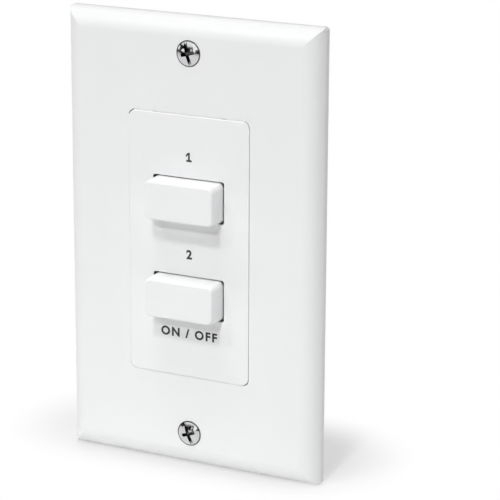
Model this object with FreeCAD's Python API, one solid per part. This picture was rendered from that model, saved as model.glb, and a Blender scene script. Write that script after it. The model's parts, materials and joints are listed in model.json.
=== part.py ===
import FreeCAD, Part
import math
import os
from FreeCAD import Vector

# Speaker selector switch for a single-gang wall box. Millimetres.
# The origin is on the wall, at the middle of the wall plate. +Z is up, +X is to the right,
# and +Y goes into the wall, so the buttons stand out towards -Y.

# ---- wall plate -------------------------------------------------------------------------
PLATE_WIDTH = 69.85
PLATE_DEPTH = 5.2
PLATE_RIM = 1.5  # straight side of the plate, measured from the wall
PLATE_EDGE_RUN = 4.6  # how far the rounded edge reaches in over the face
PLATE_EDGE_BULGE = 0.95  # how far the rounded edge stands out from its chord
PLATE_WALL = 2.0
PLATE_CORNER_R = 0.9
PLATE_COLLAR_WALL = 1.5  # wall round the opening, behind the face
OPENING_WIDTH = 33.3
OPENING_CORNER_R = 1.6
OPENING_EDGE_R = 0.15
PLATE_END_MARGIN = 8.75  # from a plate screw to the end of the plate
PLATE_BOSS_R = 3.2
RIB_THICKNESS = 1.2
RIB_X = 26.5
RIB_END_MARGIN = 9.15  # from a rib to the end of the plate
CROSS_RIB_MARGIN = 2.65  # from the opening to the outer cross ribs

# ---- insert that carries the buttons ----------------------------------------------------
INSERT_GAP = 0.06  # between the insert and the plate's opening
INSERT_PROUD = 0.15
INSERT_WALL = 1.6
INSERT_FACE = 2.2
INSERT_CORNER_R = 2.0
INSERT_EDGE_R = 0.15
BUTTON_PITCH = 24.8
BUTTON_HOLE_WIDTH = 19.7
BUTTON_HOLE_HEIGHT = 10.6
BUTTON_HOLE_R = 0.55
SLEEVE_WALL = 1.0  # guide round each button hole, behind the face
SLEEVE_LENGTH = 1.2

# ---- buttons ----------------------------------------------------------------------------
BUTTON_GAP = 0.28  # between a button and its hole
BUTTON_PROUD = 5.5
BUTTON_SKIRT = 2.6  # how far the button reaches back behind the insert's front
BUTTON_DRAFT = 2.0  # degrees
BUTTON_EDGE_R = 0.6
BUTTON_CORNER_R = 1.4
BUTTON_WALL = 1.2
BUTTON_TRAVEL = 3.0
SOCKET_SIZE = 6.0
SOCKET_DEPTH = 4.0

# ---- steel strap ------------------------------------------------------------------------
STRAP_THICKNESS = 1.2
STRAP_SETBACK = 0.2  # the strap lies this far inside the plate's back rim
STRAP_END_MARGIN = 4.3  # from a plate screw to the end of the strap
STRAP_EAR_WIDTH = 43.0
STRAP_EAR_HEIGHT = 19.0
STRAP_WAIST = 35.0
STRAP_CORNER_R = 2.5
WINDOW_MARGIN_X = 1.25  # from a button hole to the side of the strap's window
WINDOW_MARGIN_Z = 2.3  # from a button hole to the end of the strap's window
WINDOW_CORNER_R = 2.0
EAR_NOTCH_R = 1.5
EAR_NOTCH_INSET = 4.6

# ---- screws -----------------------------------------------------------------------------
PLATE_SCREW_R = 1.75
PLATE_SCREW_HEAD_R = 3.12
PLATE_SCREW_RISE = 0.8
PLATE_SCREW_REACH = 8.0  # how far it goes in behind the wall
COUNTERSINK_HALF_ANGLE = 41.0
HEAD_CLEARANCE = 0.2
SLOT_WIDTH = 0.9
SLOT_DEPTH = 0.75
CROSS_WIDTH = 0.85
CROSS_LENGTH = 3.7
CROSS_DEPTH = 1.5
UPPER_SLOT_TURN = 15.0  # degrees that the driver slot leans from upright
LOWER_SLOT_TURN = 20.0
BOX_SCREW_MARGIN = 8.3  # from the plate's opening to a box screw
SCREW_STEP = 6.75  # from a box screw to a plate screw
BOX_SCREW_R = 1.75
BOX_SCREW_NECK_R = 1.45
BOX_SCREW_HEAD_R = 3.3
BOX_SCREW_HEAD = 1.5
BOX_SCREW_LENGTH = 21.0
BOX_SLOT_HALF_LENGTH = 3.2
RETAINER_SIZE = 8.5
RETAINER_THICKNESS = 0.8
RETAINER_GRIP = 0.1
RETAINER_PLAY = 0.5  # from a retainer to the thread of its screw
RETAINER_CORNER_R = 1.0
INSERT_SCREW_R = 1.1
INSERT_SCREW_HEAD_R = 2.2
INSERT_SCREW_HEAD = 1.3
INSERT_SCREW_BITE = 2.9
INSERT_SCREW_INSET = 2.0  # sideways, from the window to the middle of an insert screw
INSERT_SCREW_LAND = 0.7  # from the strap's window to an insert screw's head
SPACER_STEP = 5.74  # up or down, from an insert screw to a spacer
SCREW_FIT = 0.05  # between a thread and its hole
HOLE_CLEARANCE = 0.2  # between a shank and a plain hole
M3_R = 1.5
M3_HEAD_R = 2.75
M3_HEAD = 1.7
M3_GRIP = 5.0

# ---- circuit board ----------------------------------------------------------------------
BOARD_THICKNESS = 1.6
BOARD_CORNER_R = 1.5
SPACER_FLATS = 5.0
SPACER_HEAD_ROOM = 0.3  # from a spacer screw's head to the insert's walls
BOARD_MARGIN_X = 1.0  # from a board screw's head to the side of the board
BOARD_MARGIN_Z = 0.75

# ---- latching switches ------------------------------------------------------------------
SWITCH_WIDTH = 16.0
SWITCH_HEIGHT = 9.6
SWITCH_FRONT_GAP = 1.0  # from the wall to the front of the switch
SWITCH_LENGTH = 12.4
SWITCH_WALL = 0.9
SWITCH_BASE = 2.0
STEM_SIZE = 3.2
STEM_GRIP = 3.4  # length of stem inside the button's socket
STEM_GAP = 0.15
PLUNGER_WIDTH = 5.2
PLUNGER_HEIGHT = 4.6
PLUNGER_LENGTH = 6.4
PLUNGER_GAP = 0.2
CARRIER_WIDTH = 9.2
CARRIER_HEIGHT = 3.0
CARRIER_LENGTH = 2.6
CARRIER_INSET = 2.0  # from the front of the plunger's body
RAIL_WIDTH = 0.9
SPRING_R = 1.55
SPRING_WIRE_R = 0.18
SPRING_TURNS = 4.5
SPRING_END_GAP = 0.05
SPRING_SEAM_TURN = 45.0  # degrees from the coil's outside to the seam of the wire's surface
SPRING_SEAT_R = 1.2
SPRING_SEAT = 0.8
TRACK_DEPTH = 1.1
TRACK_HALF_WIDTH = 0.45
TRACK_FLOOR_GAP = 0.2
TRACK_REACH = 1.3  # sideways throw of the latch pin
TRACK_NOTCH = 0.7  # how far the latched pin sits behind the end of its throw
PIN_R = 0.25
PIN_ARM = 5.0  # from the pin's pivot to its tip
PIN_LIFT = 0.7  # from the plunger's top to the middle of the pin's wire
PIN_FIT = 0.06
LEDGE_LENGTH = 1.4
LEDGE_THICKNESS = 0.8
LEDGE_WIDTH = 3.4
CLIP_THICKNESS = 0.3
CLIP_WIDTH = 3.0
CLIP_LEG = 4.2
CLIP_FRONT = 3.6  # from the front of the switch to the clip
CLIP_TONGUE_WIDTH = 1.4
CLIP_TONGUE_LENGTH = 2.6
CLIP_PIN_GAP = 0.05
CLIP_SLOT_WIDTH = 2.6
CLIP_SLOT_MARGIN = 0.5
BLADE_OFFSET = 6.2  # from the switch's middle to the near face of a contact blade
BLADE_THICKNESS = 0.4
BLADE_WIDTH = 1.1
BLADE_PITCH = 2.5
BLADE_START = 3.4  # from the front of the switch
BLADE_TAIL = 1.6  # how far a blade stands out behind the board
BLADE_GAP = 0.15  # between a bridge and the blades
BLADE_FIT = 0.05
BRIDGE_THICKNESS = 0.3
BRIDGE_LENGTH = 1.8
BRIDGE_STEM = 0.9
PIN_HOLE_R = 0.75

# ---- screw terminals --------------------------------------------------------------------
POLES = 4
POLE_PITCH = 5.08
BLOCK_PITCH = 20.6
BLOCK_HEIGHT = 8.0
BLOCK_DEPTH = 10.0
BLOCK_FLOOR = 1.4
BLOCK_CHAMFER = 1.2
ENTRY_SIZE = 3.2
CLAMP_WIDTH = 3.6
CLAMP_HEIGHT = 4.4
CLAMP_DEPTH = 4.9
CLAMP_GAP = 0.1
CLAMP_FLOOR = 0.7
CLAMP_BORE_WIDTH = 2.6
CLAMP_BORE_DEPTH = 2.6
TONGUE_THICKNESS = 0.5
TONGUE_WIDTH = 2.0
TONGUE_TAIL = 1.0  # how far a terminal pin comes out in front of the board
TERMINAL_SCREW_R = 1.25
TERMINAL_SCREW_HEAD_R = 1.75
TERMINAL_SCREW_HEAD = 1.2
TERMINAL_WELL_GAP = 0.15

# ---- planes along the depth, worked out from the sizes above ----------------------------
PLATE_FACE = -PLATE_DEPTH
INSERT_FRONT = PLATE_FACE - INSERT_PROUD
INSERT_BACK_OF_FACE = INSERT_FRONT + INSERT_FACE
STRAP_BACK = -STRAP_SETBACK
STRAP_FRONT = STRAP_BACK - STRAP_THICKNESS
BUTTON_FRONT = INSERT_FRONT - BUTTON_PROUD
BUTTON_BACK = INSERT_FRONT + BUTTON_SKIRT
SWITCH_FRONT = SWITCH_FRONT_GAP
SWITCH_BACK = SWITCH_FRONT + SWITCH_LENGTH
BOARD_FRONT = SWITCH_BACK + SWITCH_BASE
BOARD_BACK = BOARD_FRONT + BOARD_THICKNESS
PLUNGER_FRONT = SWITCH_FRONT + SWITCH_WALL + STEM_GAP
PLUNGER_BACK = PLUNGER_FRONT + PLUNGER_LENGTH
PIN_PIVOT = SWITCH_BACK - LEDGE_LENGTH / 2
PIN_TIP = PIN_PIVOT - PIN_ARM
TRACK_FRONT = PIN_TIP - BUTTON_TRAVEL
PLUNGER_TOP = PLUNGER_HEIGHT / 2
PIN_HEIGHT = PLUNGER_TOP + PIN_LIFT

# ---- places across the width and height, worked out the same way -------------------------
WINDOW_WIDTH = BUTTON_HOLE_WIDTH + 2 * WINDOW_MARGIN_X
WINDOW_HEIGHT = BUTTON_PITCH + BUTTON_HOLE_HEIGHT + 2 * WINDOW_MARGIN_Z
INSERT_SCREW_X = WINDOW_WIDTH / 2 + INSERT_SCREW_INSET
INSERT_SCREW_Z = WINDOW_HEIGHT / 2 + INSERT_SCREW_LAND + INSERT_SCREW_HEAD_R
SPACER_X = OPENING_WIDTH / 2 - INSERT_GAP - INSERT_WALL - SPACER_HEAD_ROOM - M3_HEAD_R
SPACER_Z = INSERT_SCREW_Z + SPACER_STEP
BOARD_WIDTH = 2 * (SPACER_X + M3_HEAD_R + BOARD_MARGIN_X)
BOARD_HEIGHT = 2 * (SPACER_Z + M3_HEAD_R + BOARD_MARGIN_Z)
OPENING_HEIGHT = 2 * (SPACER_Z + M3_HEAD_R + SPACER_HEAD_ROOM + INSERT_WALL + INSERT_GAP)
BOX_SCREW_PITCH = OPENING_HEIGHT + 2 * BOX_SCREW_MARGIN
PLATE_SCREW_PITCH = BOX_SCREW_PITCH + 2 * SCREW_STEP
STRAP_HEIGHT = PLATE_SCREW_PITCH + 2 * STRAP_END_MARGIN
PLATE_HEIGHT = PLATE_SCREW_PITCH + 2 * PLATE_END_MARGIN
CROSS_RIB_Z = OPENING_HEIGHT / 2 + CROSS_RIB_MARGIN

NEAR = 1e-3  # two places nearer than this are the same
SIDES = (-1, 1)
CORNERS = [(sx, sz) for sx in SIDES for sz in SIDES]
SWITCHES = {"upper": BUTTON_PITCH / 2, "lower": -BUTTON_PITCH / 2}
BLOCKS = {"upper": BLOCK_PITCH, "middle": 0.0, "lower": -BLOCK_PITCH}


# ---- shapes -----------------------------------------------------------------------------
def block(x0, x1, y0, y1, z0, z1):
    """Box between two corners."""
    return Part.makeBox(x1 - x0, y1 - y0, z1 - z0, Vector(x0, y0, z0))


def bar(width, y0, y1, height, x=0.0, z=0.0):
    """Box along the depth, centred on x and z."""
    return block(x - width / 2, x + width / 2, y0, y1, z - height / 2, z + height / 2)


def rod(radius, y0, y1, x=0.0, z=0.0):
    """Round bar along the depth."""
    return Part.makeCylinder(radius, y1 - y0, Vector(x, y0, z), Vector(0, 1, 0))


def post(radius, z0, z1, x, y):
    """Round bar standing upright."""
    return Part.makeCylinder(radius, z1 - z0, Vector(x, y, z0))


def cone(r0, r1, y0, y1, x=0.0, z=0.0):
    """Cone along the depth, with radius r0 at y0 and r1 at y1."""
    return Part.makeCone(r0, r1, y1 - y0, Vector(x, y0, z), Vector(0, 1, 0))


def rounded_wire(width, height, r, y):
    """Rectangle with quarter-circle corners, in the plane at depth y."""
    x1, z1 = width / 2, height / 2
    x0, z0 = -x1, -z1
    tip = r * (1 - math.sqrt(0.5))
    edges = []
    for start, middle, end in (
        ((x0, z0 + r), (x0 + tip, z0 + tip), (x0 + r, z0)),
        ((x1 - r, z0), (x1 - tip, z0 + tip), (x1, z0 + r)),
        ((x1, z1 - r), (x1 - tip, z1 - tip), (x1 - r, z1)),
        ((x0 + r, z1), (x0 + tip, z1 - tip), (x0, z1 - r)),
    ):
        points = [Vector(px, y, pz) for px, pz in (start, middle, end)]
        edges.append(Part.Arc(*points).toShape())
    for here, after in zip(edges, edges[1:] + edges[:1]):
        edges.append(Part.makeLine(here.Vertexes[-1].Point, after.Vertexes[0].Point))
    return Part.Wire(Part.__sortEdges__(edges))


def slab(width, height, corner_r, y0, y1, x=0.0, z=0.0):
    """Plate with round corners, from y0 back to y1."""
    face = Part.Face(rounded_wire(width, height, corner_r, y0))
    solid = face.extrude(Vector(0, y1 - y0, 0))
    solid.translate(Vector(x, 0, z))
    return solid


def joined(shapes):
    """One solid from several."""
    first, *rest = shapes
    return first.fuse(rest).removeSplitter() if rest else first


def group(shapes):
    """Separate solids kept together in one node."""
    return Part.makeCompound(shapes)


def front_edges(shape, y):
    """Edges that lie in the plane at depth y."""
    boxes = [(edge, edge.BoundBox) for edge in shape.Edges]
    return [edge for edge, box in boxes if max(abs(box.YMin - y), abs(box.YMax - y)) < NEAR]


def moved(shape, x=0.0, y=0.0, z=0.0):
    """Copy of a shape in another place."""
    copy = shape.copy()
    copy.translate(Vector(x, y, z))
    return copy


def turned(shape, degrees, x, z):
    """Copy of a shape turned about a line along the depth."""
    copy = shape.copy()
    copy.rotate(Vector(x, 0, z), Vector(0, 1, 0), degrees)
    return copy


# ---- wall plate -------------------------------------------------------------------------
def edge_profile(half, depth):
    """Section of the plate: flat face, rounded edges and short straight sides."""
    run, rim = PLATE_EDGE_RUN, PLATE_RIM
    drop = depth - rim
    chord = math.hypot(run, drop)
    out_u = drop / chord * PLATE_EDGE_BULGE
    out_v = run / chord * PLATE_EDGE_BULGE
    right = [
        (half - run, -depth),
        (half - run / 2 + out_u, -depth + drop / 2 - out_v),
        (half, -rim),
    ]
    left = [(-u, v) for u, v in reversed(right)]
    return left, right


def edge_body(width, depth, length, place):
    """Bar with the plate's section; place turns (across, depth) into a point."""
    left, right = edge_profile(width / 2, depth)
    corners = [(-width / 2, 0.0), left[0]], [left[2], right[0]], [right[2], (width / 2, 0.0)]
    edges = [Part.makeLine(place(*a), place(*b)) for a, b in corners]
    edges += [Part.Arc(*[place(u, v) for u, v in arc]).toShape() for arc in (left, right)]
    edges.append(Part.makeLine(place(width / 2, 0.0), place(-width / 2, 0.0)))
    face = Part.Face(Part.Wire(Part.__sortEdges__(edges)))
    return face.extrude(length)


def domed_plate(width, height, depth, corner_r):
    """Plate whose four rounded edges meet in mitres."""
    upright = edge_body(
        width, depth, Vector(0, 0, height), lambda u, v: Vector(u, v, -height / 2)
    )
    across = edge_body(
        height, depth, Vector(width, 0, 0), lambda u, v: Vector(-width / 2, v, u)
    )
    outline = slab(width, height, corner_r, -depth, 0.0)
    return upright.common(across).common(outline)


def plate_screw_places():
    return [(0.0, side * PLATE_SCREW_PITCH / 2) for side in SIDES]


def countersink(head_r, shank_r, y):
    """Cone under a countersunk head whose rim is at depth y."""
    depth = (head_r - shank_r) / math.tan(math.radians(COUNTERSINK_HALF_ANGLE))
    return cone(head_r, shank_r, y, y + depth)


def plate_ribs():
    """Stiffening ribs inside the plate, clear of the strap."""
    top = PLATE_FACE + PLATE_WALL
    reach = PLATE_WIDTH / 2 - RIB_X
    ribs = []
    for side in SIDES:
        x = side * RIB_X
        ribs.append(bar(RIB_THICKNESS, top, STRAP_FRONT, PLATE_HEIGHT - 2 * RIB_END_MARGIN, x=x))
        for z in (-CROSS_RIB_Z, 0.0, CROSS_RIB_Z):
            ribs.append(bar(reach, top, STRAP_FRONT, RIB_THICKNESS, x=x + side * reach / 2, z=z))
    return ribs


def wall_plate():
    shell = domed_plate(PLATE_WIDTH, PLATE_HEIGHT, PLATE_DEPTH, PLATE_CORNER_R)
    hollow = domed_plate(
        PLATE_WIDTH - 2 * PLATE_WALL,
        PLATE_HEIGHT - 2 * PLATE_WALL,
        PLATE_DEPTH - PLATE_WALL,
        PLATE_CORNER_R,
    )
    collar = slab(
        OPENING_WIDTH + 2 * PLATE_COLLAR_WALL,
        OPENING_HEIGHT + 2 * PLATE_COLLAR_WALL,
        OPENING_CORNER_R + PLATE_COLLAR_WALL,
        PLATE_FACE + PLATE_WALL / 2,
        STRAP_FRONT - INSERT_GAP,
    )
    ceiling = PLATE_FACE + PLATE_WALL / 2
    bosses = [rod(PLATE_BOSS_R, ceiling, STRAP_FRONT, x, z) for x, z in plate_screw_places()]
    inside = [rib.common(hollow) for rib in plate_ribs()]
    body = joined([shell.cut(hollow), collar] + bosses + inside)
    opening = slab(OPENING_WIDTH, OPENING_HEIGHT, OPENING_CORNER_R, PLATE_FACE, 0.0)
    body = body.cut(opening)
    rim = [e for e in front_edges(body, PLATE_FACE) if inside_opening(e)]
    body = body.makeFillet(OPENING_EDGE_R, rim)
    sink = countersink(PLATE_SCREW_HEAD_R + HEAD_CLEARANCE, PLATE_SCREW_R + HOLE_CLEARANCE, PLATE_FACE)
    shank = rod(PLATE_SCREW_R + HOLE_CLEARANCE, PLATE_FACE, 0.0)
    tools = [moved(t, x=x, z=z) for t in (sink, shank) for x, z in plate_screw_places()]
    return body.cut(tools)


def inside_opening(edge):
    box = edge.BoundBox
    return abs(box.XMin) < OPENING_WIDTH / 2 + NEAR and abs(box.ZMax) < OPENING_HEIGHT / 2 + NEAR


# ---- fasteners --------------------------------------------------------------------------
def driver_recess(y, head_r):
    """Cross recess with a full-width slot, cut in from depth y."""
    slot = bar(SLOT_WIDTH, y, y + SLOT_DEPTH, 2 * head_r)
    cross = [
        bar(CROSS_WIDTH, y, y + CROSS_DEPTH, CROSS_LENGTH),
        bar(CROSS_LENGTH, y, y + CROSS_DEPTH, CROSS_WIDTH),
    ]
    return joined([slot] + cross)


def dome(head_r, rise, y):
    """Low dome that stands out to the front of depth y."""
    ball_r = (head_r**2 + rise**2) / (2 * rise)
    ball = Part.makeSphere(ball_r, Vector(0, y - rise + ball_r, 0))
    return ball.common(rod(head_r, y - rise, y))


def plate_screw(turn, z):
    """Oval-head machine screw, flush in the plate's countersink."""
    y = PLATE_FACE
    solid = joined(
        [
            dome(PLATE_SCREW_HEAD_R, PLATE_SCREW_RISE, y),
            countersink(PLATE_SCREW_HEAD_R, PLATE_SCREW_R, y),
            rod(PLATE_SCREW_R, y, PLATE_SCREW_REACH),
        ]
    )
    solid = solid.cut(driver_recess(y - PLATE_SCREW_RISE, PLATE_SCREW_HEAD_R))
    return turned(moved(solid, z=z), -turn, 0.0, z)


def plate_screws():
    half = PLATE_SCREW_PITCH / 2
    return group([plate_screw(UPPER_SLOT_TURN, half), plate_screw(LOWER_SLOT_TURN, -half)])


def pan_screw(shank_r, head_r, head, length, seat, way):
    """Pan-head screw; its head sits on depth seat and its shank goes in direction way."""
    face = seat - way * head
    body = rod(head_r, min(face, seat), max(face, seat))
    body = body.makeFillet(head / 2, front_edges(body, face))
    tip = seat + way * length
    shank = rod(shank_r, min(seat, tip), max(seat, tip))
    cross_depth = head * 0.6
    low = min(face, face + way * cross_depth)
    high = max(face, face + way * cross_depth)
    cross = [bar(head_r * a, low, high, head_r * b) for a, b in ((0.26, 1.2), (1.2, 0.26))]
    return joined([body, shank]).cut(cross)


def box_screw_places():
    return [(0.0, side * BOX_SCREW_PITCH / 2) for side in SIDES]


def box_screws():
    """Screws that hold the strap to the wall box; a bare neck keeps them captive."""
    neck = STRAP_THICKNESS + RETAINER_THICKNESS + RETAINER_PLAY
    head = pan_screw(BOX_SCREW_NECK_R, BOX_SCREW_HEAD_R, BOX_SCREW_HEAD, neck, STRAP_FRONT, 1)
    thread = rod(BOX_SCREW_R, STRAP_FRONT + neck, BOX_SCREW_LENGTH)
    screw = joined([head, thread])
    return group([moved(screw, x=x, z=z) for x, z in box_screw_places()])


def screw_retainers():
    """Card washers behind the strap that keep the box screws from falling out."""
    back = STRAP_BACK + RETAINER_THICKNESS
    washer = slab(RETAINER_SIZE, RETAINER_SIZE, RETAINER_CORNER_R, STRAP_BACK, back)
    washer = washer.cut(rod(BOX_SCREW_NECK_R + RETAINER_GRIP, STRAP_BACK, back))
    return group([moved(washer, x=x, z=z) for x, z in box_screw_places()])


def insert_screw_places():
    return [(sx * INSERT_SCREW_X, sz * INSERT_SCREW_Z) for sx, sz in CORNERS]


def insert_screws():
    """Screws from behind the strap into the insert's bosses."""
    length = STRAP_THICKNESS + INSERT_SCREW_BITE
    screw = pan_screw(INSERT_SCREW_R, INSERT_SCREW_HEAD_R, INSERT_SCREW_HEAD, length, STRAP_BACK, -1)
    return group([moved(screw, x=x, z=z) for x, z in insert_screw_places()])


def spacer_places():
    return [(sx * SPACER_X, sz * SPACER_Z) for sx, sz in CORNERS]


def spacer_screws():
    """Screws from the front of the strap into the spacers."""
    screw = pan_screw(M3_R, M3_HEAD_R, M3_HEAD, STRAP_THICKNESS + M3_GRIP, STRAP_FRONT, 1)
    return group([moved(screw, x=x, z=z) for x, z in spacer_places()])


def board_screws():
    """Screws that hold the circuit board to the spacers."""
    screw = pan_screw(M3_R, M3_HEAD_R, M3_HEAD, BOARD_THICKNESS + M3_GRIP, BOARD_BACK, -1)
    return group([moved(screw, x=x, z=z) for x, z in spacer_places()])


def board_spacers():
    """Hexagonal spacers between the strap and the circuit board."""
    corner = SPACER_FLATS / math.sqrt(3)
    angles = [math.radians(60 * i + 30) for i in range(7)]
    points = [Vector(corner * math.cos(a), STRAP_BACK, corner * math.sin(a)) for a in angles]
    length = BOARD_FRONT - STRAP_BACK
    hexagon = Part.Face(Part.makePolygon(points)).extrude(Vector(0, length, 0))
    hexagon = hexagon.cut(rod(M3_R + SCREW_FIT, STRAP_BACK, BOARD_FRONT))
    return group([moved(hexagon, x=x, z=z) for x, z in spacer_places()])


# ---- strap and insert -------------------------------------------------------------------
def slot_hole(half_length, radius, y0, y1):
    """Slot along X with round ends."""
    ends = [rod(radius, y0, y1, x=side * (half_length - radius)) for side in SIDES]
    return joined(ends + [bar(2 * (half_length - radius), y0, y1, 2 * radius)])


def mounting_strap():
    front, back = STRAP_FRONT, STRAP_BACK
    waist = slab(STRAP_WAIST, STRAP_HEIGHT, STRAP_CORNER_R, front, back)
    ear = slab(STRAP_EAR_WIDTH, STRAP_EAR_HEIGHT, STRAP_CORNER_R, front, back)
    ear_z = (STRAP_HEIGHT - STRAP_EAR_HEIGHT) / 2
    body = joined([waist] + [moved(ear, z=side * ear_z) for side in SIDES])
    window = slab(WINDOW_WIDTH, WINDOW_HEIGHT, WINDOW_CORNER_R, front, back)
    box_slot = slot_hole(BOX_SLOT_HALF_LENGTH, BOX_SCREW_R + HOLE_CLEARANCE, front, back)
    tools = [window]
    tools += [moved(box_slot, x=x, z=z) for x, z in box_screw_places()]
    tools += [rod(PLATE_SCREW_R + SCREW_FIT, front, back, x, z) for x, z in plate_screw_places()]
    tools += [rod(M3_R + HOLE_CLEARANCE, front, back, x, z) for x, z in spacer_places()]
    tools += [rod(INSERT_SCREW_R + HOLE_CLEARANCE, front, back, x, z) for x, z in insert_screw_places()]
    notch_x = STRAP_EAR_WIDTH / 2 - EAR_NOTCH_INSET
    for sx, sz in CORNERS:
        for z in (ear_z - EAR_NOTCH_INSET, ear_z + EAR_NOTCH_INSET):
            tools.append(rod(EAR_NOTCH_R, front, back, sx * notch_x, sz * z))
    return body.cut(tools)


def insert():
    """Moulding that fills the plate's opening and carries both buttons."""
    width = OPENING_WIDTH - 2 * INSERT_GAP
    height = OPENING_HEIGHT - 2 * INSERT_GAP
    body = slab(width, height, INSERT_CORNER_R, INSERT_FRONT, STRAP_FRONT)
    body = body.makeFillet(INSERT_EDGE_R, front_edges(body, INSERT_FRONT))
    hollow = slab(
        width - 2 * INSERT_WALL,
        height - 2 * INSERT_WALL,
        INSERT_CORNER_R,
        INSERT_BACK_OF_FACE,
        STRAP_FRONT,
    )
    sleeve = slab(
        BUTTON_HOLE_WIDTH + 2 * SLEEVE_WALL,
        BUTTON_HOLE_HEIGHT + 2 * SLEEVE_WALL,
        BUTTON_HOLE_R + SLEEVE_WALL,
        INSERT_BACK_OF_FACE - INSERT_FACE / 2,
        INSERT_BACK_OF_FACE + SLEEVE_LENGTH,
    )
    boss_r = INSERT_SCREW_R + INSERT_WALL * 0.7
    start = INSERT_BACK_OF_FACE - INSERT_FACE / 2
    bosses = [rod(boss_r, start, STRAP_FRONT, x, z) for x, z in insert_screw_places()]
    body = joined([body.cut(hollow)] + [moved(sleeve, z=z) for z in SWITCHES.values()] + bosses)
    hole = slab(BUTTON_HOLE_WIDTH, BUTTON_HOLE_HEIGHT, BUTTON_HOLE_R, INSERT_FRONT, STRAP_FRONT)
    deepest = STRAP_FRONT - INSERT_SCREW_BITE - SCREW_FIT
    tools = [moved(hole, z=z) for z in SWITCHES.values()]
    tools += [rod(INSERT_SCREW_R + SCREW_FIT, deepest, STRAP_FRONT, x, z) for x, z in insert_screw_places()]
    return body.cut(tools)


# ---- circuit board ----------------------------------------------------------------------
def blade_places():
    """Middle of each contact blade, measured from the switch's middle."""
    x = BLADE_OFFSET + BLADE_THICKNESS / 2
    return [(side * x, row * BLADE_PITCH) for side in SIDES for row in (-1, 0, 1)]


def pole_offsets():
    return [(i - (POLES - 1) / 2) * POLE_PITCH for i in range(POLES)]


def circuit_board():
    board = slab(BOARD_WIDTH, BOARD_HEIGHT, BOARD_CORNER_R, BOARD_FRONT, BOARD_BACK)
    holes = [rod(M3_R + HOLE_CLEARANCE, BOARD_FRONT, BOARD_BACK, x, z) for x, z in spacer_places()]
    for middle in SWITCHES.values():
        for x, z in blade_places():
            holes.append(rod(PIN_HOLE_R, BOARD_FRONT, BOARD_BACK, x, middle + z))
    for name, middle in BLOCKS.items():
        z = middle + tail_offset() * entry_side(name)
        for x in pole_offsets():
            holes.append(rod(PIN_HOLE_R, BOARD_FRONT, BOARD_BACK, x, z))
    return board.cut(holes)


# ---- screw terminals --------------------------------------------------------------------
def entry_side(name):
    """+1 where the wires go in from above, -1 where they go in from below."""
    return 1 if name == "upper" else -1


def tail_offset():
    """From the middle of a block to its pins' tails, which are away from the wire side."""
    return -(CLAMP_HEIGHT / 2 + CLAMP_GAP + TONGUE_THICKNESS / 2)


def clamp_front():
    return BOARD_BACK + BLOCK_FLOOR + CLAMP_GAP


def clamp_back():
    return clamp_front() + CLAMP_DEPTH


def terminal_block(name):
    """Housing of one row of screw terminals; the wires go in at its open side."""
    side = entry_side(name)
    width = POLES * POLE_PITCH
    back = BOARD_BACK + BLOCK_DEPTH
    body = bar(width, BOARD_BACK, back, BLOCK_HEIGHT)
    edges = [e for e in front_edges(body, back) if e.BoundBox.XLength > width / 2]
    body = body.makeChamfer(BLOCK_CHAMFER, edges)
    chamber_front = BOARD_BACK + BLOCK_FLOOR
    chamber_back = clamp_back() + CLAMP_GAP
    inner = -(CLAMP_HEIGHT / 2 + 2 * CLAMP_GAP + TONGUE_THICKNESS)
    outer = CLAMP_HEIGHT / 2 + CLAMP_GAP
    tail = tail_offset()
    tail_half = TONGUE_THICKNESS / 2 + CLAMP_GAP
    tools = []
    for x in pole_offsets():
        half = CLAMP_WIDTH / 2 + CLAMP_GAP
        tools.append(block(x - half, x + half, chamber_front, chamber_back, inner, outer))
        entry_y = clamp_front() + CLAMP_FLOOR
        tools.append(
            block(x - ENTRY_SIZE / 2, x + ENTRY_SIZE / 2, entry_y, entry_y + ENTRY_SIZE, 0.0, BLOCK_HEIGHT)
        )
        tools.append(rod(TERMINAL_SCREW_HEAD_R + TERMINAL_WELL_GAP, chamber_back, back, x))
        tools.append(bar(TONGUE_WIDTH + 2 * CLAMP_GAP, BOARD_BACK, chamber_front, 2 * tail_half, x, tail))
    body = body.cut(tools)
    return facing(body, side)


def facing(shape, side):
    """Shape as it is, or turned over so that its wire side faces down."""
    return shape if side > 0 else turned(shape, 180.0, 0.0, 0.0)


def each_pole(make):
    """One copy of a small piece for every pole of every terminal block."""
    shapes = []
    for name, middle in BLOCKS.items():
        for x in pole_offsets():
            shapes.append(moved(facing(moved(make(), x=x), entry_side(name)), z=middle))
    return group(shapes)


def wire_clamp():
    """Metal cage with a bore for the wire and a tapped hole for its screw."""
    front, back = clamp_front(), clamp_back()
    body = bar(CLAMP_WIDTH, front, back, CLAMP_HEIGHT)
    bore_back = front + CLAMP_FLOOR + CLAMP_BORE_DEPTH
    bore = bar(CLAMP_BORE_WIDTH, front + CLAMP_FLOOR, bore_back, CLAMP_HEIGHT)
    return body.cut([bore, rod(TERMINAL_SCREW_R + SCREW_FIT, bore_back, back)])


def terminal_screw():
    """Cheese-head screw that presses the wire down in its clamp."""
    seat = clamp_back()
    tip = clamp_front() + CLAMP_FLOOR + CLAMP_BORE_DEPTH - TONGUE_THICKNESS
    head = rod(TERMINAL_SCREW_HEAD_R, seat, seat + TERMINAL_SCREW_HEAD)
    shank = rod(TERMINAL_SCREW_R, tip, seat)
    slot_floor = seat + TERMINAL_SCREW_HEAD / 2
    slot = bar(2 * TERMINAL_SCREW_HEAD_R, slot_floor, seat + TERMINAL_SCREW_HEAD, SLOT_WIDTH * 0.7)
    return joined([head, shank]).cut(slot)


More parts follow.
